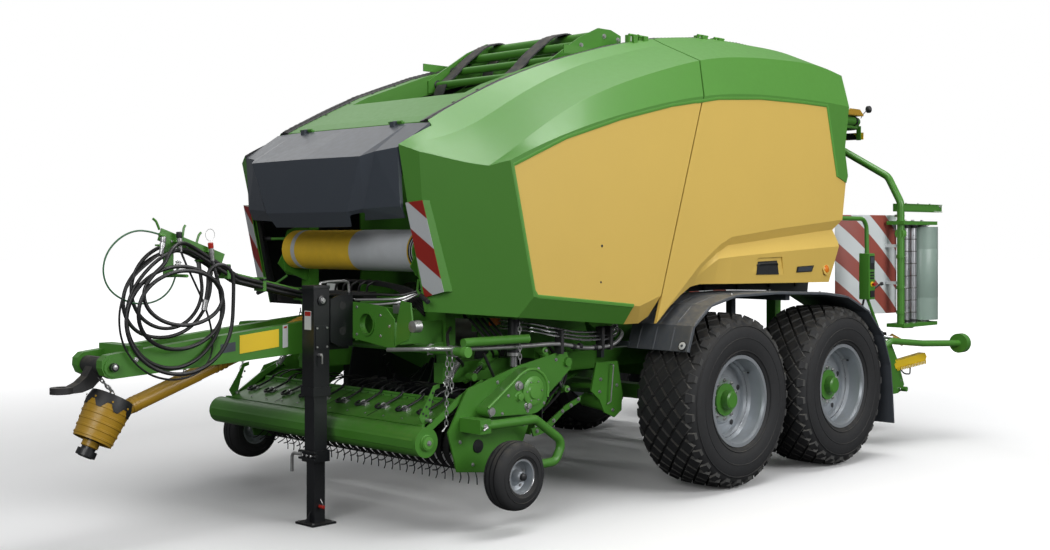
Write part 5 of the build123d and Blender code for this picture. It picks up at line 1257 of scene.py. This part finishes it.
# %% Valves and pipes
shape = Shape("valves_and_pipes")
shape.box((-0.3, -1.66, 1.24), (0.1, -1.56, 1.33), cast_iron, 0.006)   # the valve block
for k in range(5):
    x = -0.26 + k * 0.08
    shape.bar((x, -1.66, 1.285), (x, -1.72, 1.285), 0.018, zinc, 16)
    shape.bolt((x, -1.7205, 1.285), FRONT, 0.016, washer=False)
    shape.tube([(x, -1.61, 1.33), (x + 0.01, -1.61, 1.37), (x + 0.05, -1.58, 1.4), (0.3 + k * 0.03, -1.56, 1.36),
                (0.55, -1.555, 1.2 + k * 0.02)], 0.008, rubber, 8)
shape.tube([(0.72, -1.5, 1.13), (0.8, -1.6, 1.1), (0.86, -1.64, 1.02), (0.83, -1.5, 0.92), (0.74, -1.42, 0.9)],
           0.01, rubber, 8)
for k in range(3):
    shape.tube([(0.34, -1.92, 1.33 - 0.03 * k), (0.5, -1.86, 1.335 - 0.03 * k), (0.62, -1.8, 1.33 - 0.02 * k),
                (0.7, -1.72 + 0.02 * k, 1.36), (0.73, -1.66 + 0.03 * k, 1.43), (0.735, -1.6 + 0.03 * k, 1.5)], 0.008,
               zinc if k else rubber, 10)
shape.box((0.585, -1.835, 1.225), (0.675, -1.765, 1.275), zinc, 0.006)
for k in range(3):
    x = 0.6 + 0.03 * k
    shape.bar((x, -1.8, 1.275), (x, -1.8, 1.3), 0.011, bright_steel, 14)
    shape.tube([(x, -1.8, 1.225), (x, -1.79, 1.15), (0.63 + 0.02 * k, -1.74, 1.1)], 0.008, rubber, 8)
shape.front_plate(-1.952, [(0.75, 1.05), (0.86, 1.09), (0.9, 1.18), (0.88, 1.3), (0.8, 1.31), (0.765, 1.2)], 0.01,
                  green_paint)
shape.lathe(cap(0.055, (0, 0.035), (0.05, 0.033)), (0.93, -1.93, 1.17), FRONT, zinc, 22)
for _ in shape.both():      # the pickup's lift cylinders
    top, foot = Vector((0.76, -1.15, 0.98)), Vector((0.84, -1.44, 0.84))
    shape.bar(top, top.lerp(foot, 0.62), 0.028, green_paint, 20)
    shape.bar(top.lerp(foot, 0.6), foot, 0.014, bright_steel, 16)
    shape.bar(foot - Vector((0.03, 0, 0)), foot + Vector((0.03, 0, 0)), 0.024, green_paint, 18)
shape.done("chassis")

# %% [markdown]
# ## Net roll
# The left half of the net roll shows its pale outer wrap.  A dark core sits in each end.  Threads of net are too
# fine to model, so thin sleeves stand for the wraps and the finish's relief for the weave.

# %% Net roll
ROLL = (0, ROLL_Y, ROLL_Z)
shape = Shape("net_wrap")
shape.lathe(hoop(0.075, 0.6285, 0.1256, 0.1272), ROLL, LEFT, net_pale, 64)
for k in range(9):
    x = -0.6 + k * 0.078
    shape.lathe([(x, 0.1256), (x + 0.001, 0.1262), (x + 0.003, 0.1262), (x + 0.004, 0.1256)], ROLL, LEFT, net_gold, 48)
shape.lathe(hoop(-0.535, -0.495, 0.1256, 0.1268), ROLL, LEFT, net_pale, 64)
for _ in shape.both():
    shape.lathe(cap(0.639, (0.63, 0.118), (0.633, 0.116), (0.633, 0.06), (0.639, 0.058)), ROLL, LEFT, black_plastic, 48)
    for radius in (0.075, 0.092, 0.107):
        shape.lathe([(0.633, radius - 0.002), (0.635, radius), (0.633, radius + 0.002), (0.632, radius)], ROLL, LEFT,
                    net_pale, 48)
shape.done("net")

# %% [markdown]
# ## Under the side hood
# Rods, hoses, cylinders and brackets fill the space between the chamber and the pickup.  A folded black shield
# closes the gap above each fender.  A dark plate could stand in for them, but they show from low down, so each is
# a simple part, written once for both sides.

# %% Under the side hood
for side, sign in SIDES.items():
    shape = Shape(f"under_hood_{side}", sign)
    # the guard's stub shaft
    shape.tube([(1.115, -1.76, 1.075), (1.115, -1.7, 1.077), (1.1, -1.6, 1.075), (1.1, -1.235, 1.072)], 0.026,
               green_paint, 14, 4, 0.5)
    shape.bar((1.1, -1.235, 1.072), (1.1, -1.228, 1.072), 0.028, green_light, 16)
    # an upright damper on a shelf, and its chain
    shape.bar((1.0, -1.245, 1.19), (1.0, -1.245, 0.96), 0.036, black_paint, 22)
    shape.bar((1.0, -1.245, 0.96), (1.0, -1.245, 0.9), 0.024, bright_steel, 18)
    shape.lathe(hoop(0, 0.02, 0.03, 0.04), (1.0, -1.245, 0.965), UP, zinc, 22)
    shape.box((0.72, -1.275, 1.185), (1.05, -1.215, 1.205), green_paint)
    shape.chain((1.09, -1.285, 1.17), (1.085, -1.275, 0.925))
    # a cylinder with a pin at each end
    shape.bar((0.99, -0.99, 0.975), (0.95, -0.8, 0.785), 0.027, green_paint, 20)
    shape.bar((0.95, -0.8, 0.785), (0.935, -0.745, 0.73), 0.013, bright_steel, 16)
    for x, y, z in ((0.99, -0.998, 0.983), (0.935, -0.738, 0.722)):
        shape.bar((x - 0.035, y, z), (x + 0.035, y, z), 0.022, green_light, 18)
        shape.bar((x - 0.05, y, z), (x + 0.05, y, z), 0.01, zinc, 12)
    shape.box((0.722, -1.02, 0.93), (0.955, -0.97, 1.0), green_paint)
    shape.box((0.722, -0.775, 0.69), (0.9, -0.71, 0.75), green_paint)
    # a long pipe, three thin ones above it, and their clamps
    shape.tube([(0.74, -2.0, 1.03), (0.9, -1.98, 1.04), (1.04, -1.92, 1.048), (1.045, -1.6, 1.03),
                (1.045, -1.25, 1.022), (1.045, -0.9, 1.022), (1.045, -0.66, 0.976), (1.045, -0.46, 0.974),
                (1.045, -0.36, 0.992), (1.03, -0.27, 1.05), (0.9, -0.22, 1.09)], 0.013, zinc, 12, 4, 0.4)
    for k, lift in enumerate((0.0, 0.022, 0.046)):
        x = 1.045 - 0.012 * k
        shape.tube([(0.75, -1.12, 1.11 + lift), (0.98, -1.06, 1.1 + lift), (x, -0.93, 1.07 + lift),
                    (x, -0.7, 1.03 + lift), (x, -0.43, 1.022 + lift), (x - 0.005, -0.33, 1.06 + lift),
                    (0.98 - 0.02 * k, -0.29, 1.13 + lift), (0.8, -0.26, 1.16 + lift)], 0.008, bright_steel, 10, 4, 0.4)
    for y in (-0.88, -0.5, -0.42):
        shape.box((1.005, y - 0.012, 0.955), (1.062, y + 0.012, 1.105), cast_iron)
    for y, z, slope in ((-0.78, 0.998, -0.25), (-0.58, 0.976, 0), (-0.72, 0.998, -0.25)):
        shape.lathe([(0, 0.0132), (0.002, 0.018), (0.028, 0.018), (0.03, 0.0132)], (1.045, y, z), (0, 1, slope),
                    black_plastic, 18, closed=False)
    for k in range(3):      # hoses that hang behind the pickup
        drop = 0.05 * k
        shape.tube([(0.78, -0.62 - drop, 0.99), (0.9, -0.66, 0.92 - drop), (0.93, -0.76, 0.8 - drop),
                    (0.88, -0.88, 0.68 - drop), (0.8, -0.98, 0.62 - drop)], 0.009, rubber, 8)
    for k in range(4):
        back = 0.05 * k
        shape.tube([(0.76, -1.38 + back, 1.18), (0.86, -1.36 + back, 1.08), (0.88, -1.3 + 0.06 * k, 0.98),
                    (0.8, -1.22 + back, 0.94)], 0.008, rubber, 8)
    # the axle's bracket, a spring pin, and two tubes
    shape.side_plate(0.9, [(-0.4, 0.86), (-0.45, 0.68), (-0.37, 0.62), (-0.32, 0.53), (-0.22, 0.49), (-0.15, 0.53),
                           (-0.14, 0.64), (-0.19, 0.86)], 0.012, green_paint)
    shape.side_bolts(0.9125, ((-0.36, 0.75), (-0.37, 0.67), (-0.2, 0.7), (-0.24, 0.54)), 0.01)
    shape.tube([(0.915, -0.26, 0.84), (0.945, -0.27, 0.84), (0.945, -0.27, 0.82), (0.94, -0.29, 0.6),
                (0.92, -0.3, 0.585)], 0.0045, zinc, 8)
    shape.tube([(0.72, -0.3, 0.6), (0.905, -0.3, 0.58)], 0.045, green_paint, 18)
    shape.tube([(0.72, -0.42, 0.7), (0.9, -0.4, 0.71)], 0.02, green_paint, 12)
    # a bolted strip, a black housing, a channel with an amber mark, and the shield
    shape.side_plate(0.88, [(-0.98, 0.49), (-0.86, 0.5), (-0.66, 0.61), (-0.52, 0.655), (-0.53, 0.62), (-0.68, 0.565),
                            (-0.84, 0.455), (-0.96, 0.44)], 0.01, green_paint)
    shape.side_bolts(0.8902, ((-0.93, 0.47), (-0.86, 0.478), (-0.78, 0.52), (-0.7, 0.572), (-0.62, 0.602),
                              (-0.55, 0.636)), 0.011)
    shape.front_plate(-0.985, [(0.625, 0.52), (0.985, 0.52), (0.985, 0.86), (0.9, 1.02), (0.625, 1.06)], 0.006,
                      black_plastic)
    shape.side_plate(0.735, [(-1.34, 1.1), (-0.62, 1.09), (-0.62, 1.2), (-1.34, 1.22)], 0.004, green_paint)
    shape.side_plate(0.7395, oblong(-1.2, 1.13, -1.1, 1.2), 0.001, amber_plastic)
    shape.side_plate(0.985, [(-0.1, 1.16), (0.02, 1.25), (0.33, 1.295), (0.8, 1.3), (1.4, 1.28), (1.72, 1.245),
                             (1.95, 1.17), (2.02, 1.57), (1.2, 1.59), (0.4, 1.57), (0.0, 1.47)], -0.006, black_plastic)
    for y in (0.25, 0.65, 1.05, 1.45, 1.8):
        shape.box((0.985, y - 0.02, 1.3), (1.0, y + 0.02, 1.56), black_plastic, 0.004)
    shape.done("chassis")

# %% [markdown]
# ## Fenders
# Pressed ribs run over each fender, a reflector sits at its front end, and a row of bolts crosses its rear edge.
# The ribs could be pressed into the sheet, but low strips swept along its line look the same and leave the sheet
# as it is.

# %% Fenders
FENDER_LINE = [(-0.18, 0.95), (-0.12, 1.11), (0.06, 1.235), (0.33, 1.29), (0.8, 1.296), (1.4, 1.275), (1.72, 1.24),
               (2.01, 1.125), (2.225, 0.935), (2.335, 0.7), (2.365, 0.48)]
REFLECTOR, REFLECTOR_WAY = (1.44, -0.178, 0.985), (0, -0.93, 0.35)
path = rounded([(0, y, z) for y, z in FENDER_LINE], 0.3, 3)
for side, sign in SIDES.items():
    shape = Shape(f"fender_trim_{side}", sign)
    for x0, x1, high in ((1.06, 1.075, 0.004), (1.19, 1.205, 0.004), (1.33, 1.345, 0.004), (1.462, 1.487, 0.007)):
        sections = []
        for p, out in outward(path):
            if out.z < 0 and p.y < 2.0:
                out = -out
            sections.append([shape.at(Vector((x, p.y, p.z)) + out * d) for x, d in
                             ((x0, 0.001), (x0 + 0.004, high), (x1 - 0.004, high), (x1, 0.001))])
        shape.rings(sections, fender_plastic)
    shape.lathe(cap(0.007, (0, 0.026), (0.005, 0.025), (0.007, 0.018)), REFLECTOR, REFLECTOR_WAY, white_plastic, 28)
    shape.lathe(cap(0.01, (0.0065, 0.01), (0.009, 0.009)), REFLECTOR, REFLECTOR_WAY, grey_panel, 20)
    shape.lathe(hoop(0, 0.004, 0.026, 0.031), REFLECTOR, REFLECTOR_WAY, black_plastic, 28)
    for x, y, z in ((1.02, 0.33, 1.292), (1.45, 0.33, 1.292), (1.02, 1.4, 1.277), (1.45, 1.4, 1.277)):
        shape.bolt((x, y, z), UP, 0.01)
    for x in (1.03, 1.12, 1.25, 1.38, 1.45):
        shape.bolt((x, 2.368, 0.52), (0, 1, 0), 0.007)
    shape.done("chassis")

# %% [markdown]
# ## Wrapper, gantry and control box
# Each film unit has ribbed stretch rollers, bearing plates and a spring.  The two units are turned, not mirrored,
# so one set of numbers is drawn twice, the second time half a turn round.  The control box carries a blank
# display, soft keys, a red stop and a lever.

# %% Film units
ARM_Y = 3.15                                # the arms turn about a vertical axis here
for side, turn, body, film_y in (("left", 0.0, "film_left", 3.42), ("right", math.pi, "film_right", 2.88)):
    shape = Shape(f"film_unit_{side}")
    shape.frame = (Matrix.Translation((0, ARM_Y, 0)) @ Matrix.Rotation(turn, 4, "Z")
                   @ Matrix.Translation((0, -ARM_Y, 0)))
    for z in (0.972, 1.7665):       # bearing plates of the film roll
        shape.lathe(cap(0.004, (0, 0.062), (0.004, 0.062)), (1.165, 3.42, z), UP, bright_steel)
    for y in (3.09, 3.21):          # collars and ribs of the two stretch rollers
        for z in (0.975, 1.745):
            shape.lathe([(0, 0.0325), (0, 0.04), (0.02, 0.04), (0.022, 0.0325)], (1.195, y, z), UP, black_plastic, 26)
        for k in range(7):
            shape.lathe([(0, 0.0322), (0.002, 0.0336), (0.006, 0.0336), (0.008, 0.0322)], (1.195, y, 1.05 + 0.1 * k),
                        UP, worn_steel, 26)
    for z, up in ((1.802, 1), (0.94, -1)):
        for x, y in ((1.195, 3.09), (1.195, 3.21), (1.165, 3.42)):
            shape.bolt((x, y, z), (0, 0, up), 0.014)
    shape.spring((1.135, 3.12, 0.932), (1.145, 3.33, 0.925), 0.011, 0.0022, 16)
    shape.bar((1.225, 2.935, 1.7), (1.225, 2.985, 1.7), 0.04, green_light, 20)
    for z in (1.05, 1.25, 1.5, 1.78):       # clamps round the upright tube
        shape.lathe(hoop(0, 0.028, 0.0305, 0.036), (1.225, 2.96, z), UP, green_paint, 22)
        shape.bolt((1.262, 2.96, z + 0.014), LEFT, 0.007)
    shape.side_plate(1.226, [(3.004, 1.888), (3.004, 1.936), (3.636, 1.936), (3.636, 1.888)], 0.008, green_paint)
    shape.bolt((1.2345, 3.6, 1.925), LEFT, 0.009)
    shape.bar((1.235, 3.0, 1.79), (1.235, 3.16, 1.8), 0.008, zinc, 10)
    shape.bar((1.15, 3.0, 1.845), (1.235, 3.0, 1.845), 0.011, zinc, 10)
    for y in (3.1, 3.3, 3.5):
        shape.bolt((1.196, y, 1.9445), UP, 0.009)
    shape.done("arms")
    shape = Shape(f"film_wrap_{side}")
    x = SIDES[side] * 1.165
    shape.lathe([(0, 0.1302), (0.001, 0.1306), (0.4, 0.1306), (0.401, 0.1302)], (x, film_y, 1.17), UP, film_skin, 64)
    for z, up in ((0.985, -1), (1.757, 1)):
        shape.lathe(hoop(0, 0.006, 0.038, 0.05), (x, film_y, z), (0, 0, up), white_plastic)
    shape.done(body)

# %% Control box
BOX_FACE, STOP = 1.2685, (1.2685, 2.435, 1.305)
shape = Shape("control_box")
shape.box((1.18, 2.39, 1.185), (1.268, 2.48, 1.545), green_paint, 0.008)
shape.side_plate(BOX_FACE, oblong(2.402, 1.42, 2.468, 1.525), 0.003, black_plastic)
shape.side_plate(1.272, oblong(2.41, 1.47, 2.46, 1.515), 0.001, grey_panel)
for row in range(3):
    for column in range(3):
        y, z = 2.407 + column * 0.02, 1.345 + row * 0.022
        shape.box((BOX_FACE, y, z), (1.2735, y + 0.013, z + 0.013), black_plastic, 0.0015)
shape.lathe(cap(0.004, (0, 0.021), (0.003, 0.021)), STOP, LEFT, safety_yellow, 28)
shape.lathe(cap(0.026, (0.003, 0.008), (0.014, 0.008), (0.016, 0.014), (0.024, 0.014)), STOP, LEFT, red_plastic, 28)
shape.box((BOX_FACE, 2.405, 1.205), (1.276, 2.465, 1.255), black_plastic)
shape.tube([(1.24, 2.48, 1.27), (1.24, 2.53, 1.27), (1.245, 2.565, 1.29), (1.25, 2.6, 1.3)], 0.008, black_plastic, 10)
shape.lathe(cap(0.028, (0, 0.012), (0.02, 0.014)), (1.25, 2.6, 1.3), (0, 1, 0.2), black_plastic, 16)
shape.tube([(1.2, 2.43, 1.185), (1.19, 2.43, 1.14), (1.14, 2.45, 1.11), (1.05, 2.5, 1.12), (0.93, 2.52, 1.15)], 0.009,
           rubber, 8)
shape.done("chassis")

# %% Gantry
shape = Shape("gantry_trim")
shape.front_plate(3.273, oblong(-0.7, 2.505, 0.7, 2.565), 0.006, warning_stripes)
for x in (-0.66, 0.66):
    shape.front_plate(3.262, oblong(x - 0.02, 2.5, x + 0.02, 2.62), 0.01, green_paint)
shape.slab([(x, y, 2.692) for x, y in oblong(0.6, 2.9, 0.77, 3.16)], (0, 0, 0.006), ochre_plastic)
shape.side_plate(0.768, [(2.9, 2.698), (3.16, 2.698), (3.1, 2.745), (2.94, 2.745)], 0.004, ochre_plastic)
for _ in shape.both():
    # lamps on rubber stalks, frame bolts, collars and a hose
    shape.tube([(0.72, 3.2, 2.68), (0.735, 3.22, 2.72), (0.75, 3.24, 2.745), (0.75, 3.262, 2.752)], 0.0035, rubber, 6)
    shape.lathe(cap(0.034, (0, 0.024), (0.006, 0.03), (0.03, 0.03), (0.034, 0.026)), (0.75, 3.245, 2.755),
                (0.5, 0.8, 0.1), black_plastic, 24)
    shape.lathe(cap(0.038, (0.0345, 0.025), (0.037, 0.02)), (0.75, 3.245, 2.755), (0.5, 0.8, 0.1), amber_plastic, 24)
    shape.side_bolts(0.7322, ((1.94, 0.95), (1.94, 1.35), (1.94, 1.9), (1.94, 2.3)), 0.01)
    for y in (2.05, 2.6, 3.1):
        shape.lathe(hoop(-0.012, 0.012, 0.0362, 0.041), (0.71, y, 2.65), (0, 1, 0), black_paint, 22)
    shape.tube([(0.715, 1.95, 2.6), (0.715, 2.3, 2.618), (0.715, 2.9, 2.612), (0.7, 3.15, 2.61)], 0.008, rubber, 8)
shape.done("chassis")

# %% Head of the wrapper
shape = Shape("wrap_head")
shape.lathe(cap(0.1, (0, 0.1), (0.02, 0.1), (0.035, 0.085), (0.09, 0.08), (0.1, 0.06)), (0, ARM_Y, 2.475), UP,
            cast_iron, 40)
for c, s in circle(8, 0.088):
    shape.bolt((c, ARM_Y + s, 2.496), UP, 0.008, washer=False)
shape.tube([(0.06, 3.15, 2.56), (0.12, 3.1, 2.58), (0.25, 2.9, 2.6), (0.45, 2.5, 2.6), (0.6, 2.2, 2.6)], 0.01,
           rubber, 8)
shape.done("chassis")

# %% [markdown]
# ## Rear corner
# A cutter bracket, a yellow comb that holds the cut film, a cross pin and hoses sit on each side at the rear.  The
# comb could be cut from one plate, but a plate with short teeth set along its edge has the same outline and needs
# no cutting.

# %% Rear corner
BLADE = [(2.78, 0.855), (2.72, 0.78), (2.88, 0.6), (2.96, 0.435), (3.08, 0.425), (3.12, 0.46), (3.02, 0.66),
         (2.92, 0.8)]
COMB = [(2.9, 0.64), (2.94, 0.668), (3.4, 0.707), (3.43, 0.675), (3.41, 0.64), (2.92, 0.604)]
for side, sign in SIDES.items():
    shape = Shape(f"rear_corner_{side}", sign)
    # the cutter's bracket, its pins and the comb
    shape.side_plate(1.155, BLADE, 0.014, green_paint)
    shape.side_plate(1.095, BLADE, 0.01, green_paint)
    for y, z in ((2.8, 0.8), (2.92, 0.68), (3.04, 0.5)):
        shape.bar((1.09, y, z), (1.185, y, z), 0.012, zinc, 14)
    shape.bar((1.06, 2.98, 0.438), (1.22, 2.98, 0.438), 0.017, bright_steel, 18)
    shape.bar((1.1, 3.04, 0.452), (1.1, 3.2, 0.44), 0.014, bright_steel, 16)
    shape.side_plate(1.205, COMB, -0.06, safety_yellow)
    for k in range(19):
        y, z = 2.935 + k * 0.0255, k * 0.0015
        shape.side_plate(1.212, [(y, 0.618 + z), (y + 0.012, 0.618 + z), (y + 0.012, 0.585 + z), (y, 0.592 + z)],
                         -0.006, safety_yellow)
    shape.box((0.66, 2.92, 0.6), (1.18, 2.98, 0.64), green_paint)
    # valve blocks with their hoses
    for low, high, used in (((0.72, 2.66, 0.8), (1.1, 2.78, 0.9), black_paint),
                            ((0.78, 2.84, 0.815), (1.06, 2.97, 0.905), black_paint),
                            ((0.66, 2.8, 0.78), (1.12, 2.83, 0.92), green_paint),
                            ((0.9, 2.98, 0.83), (1.02, 3.1, 0.885), cast_iron)):
        shape.box(low, high, used, 0.006)
    for k in range(4):
        x = 0.8 + 0.07 * k
        shape.bar((x, 2.9, 0.9), (x, 2.9, 0.925), 0.016, zinc, 14)
        shape.tube([(x, 2.97, 0.86), (x + 0.02, 3.04, 0.87), (0.9 + 0.05 * k, 3.09, 0.84),
                    (0.98 + 0.03 * k, 3.08, 0.76)], 0.008, rubber, 8)
    # the cutter's cylinder and its hoses
    shape.bar((1.1, 3.02, 0.86), (1.17, 3.1, 0.8), 0.026, ochre_plastic, 18)
    shape.bar((0.86, 2.72, 0.9), (1.12, 2.86, 0.865), 0.03, black_paint, 20)
    shape.bar((1.12, 2.86, 0.865), (1.19, 2.9, 0.855), 0.016, bright_steel, 16)
    shape.bar((1.06, 2.7, 0.8), (1.15, 2.7, 0.8), 0.028, green_light, 20)
    for k in range(3):
        shape.tube([(0.8, 2.7, 0.92 + 0.01 * k), (0.9, 2.8, 0.9), (1.02, 2.9 + 0.03 * k, 0.78 - 0.03 * k),
                    (1.08, 2.98, 0.7 - 0.04 * k), (1.02, 3.05, 0.62 - 0.02 * k)], 0.008, rubber, 8)
    shape.tube([(1.18, 2.95, 0.66), (1.22, 3.02, 0.56), (1.22, 3.12, 0.55), (1.2, 3.16, 0.6)], 0.006, rubber, 8)
    shape.done("chassis")

# %% [markdown]
# ## Floor, lamps and sky
# The yard is a plain pale floor.  Four large soft lamps and an even sky light the machine.  A stronger sky would
# make the ground white as well, but it would bleach the paint, so only the camera sees floor and sky as white.

# %% Floor
FLOOR_LIT, FLOOR_SEEN = 0.1, 0.86           # how pale the floor is to light, and to the camera
GLOW_NEAR, GLOW_FAR = 3.8, 11.5             # the floor fades into the sky between these distances
SKY_COLOUR, SKY_STRENGTH = (0.95, 0.97, 1.0, 1), 0.21
WHITE = (1, 1, 1, 1)
bpy.ops.mesh.primitive_plane_add(size=160, location=(0, 0, 0))
floor = bpy.context.active_object
floor.name = "floor"
floor_finish = bpy.data.materials.new("floor_finish")
floor_finish.use_nodes = True
tree = floor_finish.node_tree
floor_shader = tree.nodes["Principled BSDF"]
seen = put(tree, "ShaderNodeLightPath").outputs["Is Camera Ray"]
tree.links.new(remap(tree, seen, 0.0, 1.0, FLOOR_LIT, FLOOR_SEEN), floor_shader.inputs["Base Color"])
floor_shader.inputs["Roughness"].default_value = 0.95
floor_shader.inputs["Specular IOR Level"].default_value = 0.1
spot = put(tree, "ShaderNodeSeparateXYZ", [(0, put(tree, "ShaderNodeTexCoord").outputs["Object"])])
away = maths(tree, "SQRT", maths(tree, "ADD", maths(tree, "MULTIPLY", spot.outputs[0], spot.outputs[0]),
                                 maths(tree, "MULTIPLY", spot.outputs[1], spot.outputs[1])))
lift = maths(tree, "MULTIPLY", seen, remap(tree, away, GLOW_NEAR, GLOW_FAR, 0.02, 1.0))
glow = put(tree, "ShaderNodeEmission", [("Color", WHITE), ("Strength", lift)])
both = put(tree, "ShaderNodeAddShader", [(0, floor_shader.outputs[0]), (1, glow.outputs[0])])
tree.links.new(both.outputs[0], tree.nodes["Material Output"].inputs["Surface"])
floor.data.materials.append(floor_finish)
print("floor:", len(tree.nodes), "nodes in its finish")


# %% Lamps and sky
def lamp(name, place, aim, size, power):
    """A soft square lamp."""
    light = bpy.data.lights.new(name, "AREA")
    light.size = size
    light.energy = power
    holder = bpy.data.objects.new(name, light)
    bpy.context.scene.collection.objects.link(holder)
    holder.location = place
    holder.rotation_euler = (Vector(aim) - Vector(place)).to_track_quat("-Z", "Y").to_euler()
    print(name, "lamp:", power, "W")


lamp("top", (1.5, 1.5, 10.0), (0, 0.2, 1.0), 6.0, 700)
lamp("side", (10.0, 1.5, 5.0), (0, 0.5, 1.4), 5.0, 560)
lamp("front", (5.0, -10.0, 5.2), (0, -1.4, 0.9), 5.0, 430)
lamp("back", (-8.5, 1.8, 7.2), (0, -0.5, 1.8), 6.0, 100)
world = bpy.data.worlds.new("sky")
bpy.context.scene.world = world
world.use_nodes = True
sky = world.node_tree
backdrop = sky.nodes["Background"]
backdrop.inputs["Color"].default_value = SKY_COLOUR
backdrop.inputs["Strength"].default_value = SKY_STRENGTH
white = put(sky, "ShaderNodeBackground", [("Color", WHITE), ("Strength", 1.0)])
chooser = put(sky, "ShaderNodeMixShader", [(0, put(sky, "ShaderNodeLightPath").outputs["Is Camera Ray"]),
                                           (1, backdrop.outputs[0]), (2, white.outputs[0])])
sky.links.new(chooser.outputs[0], sky.nodes["World Output"].inputs["Surface"])
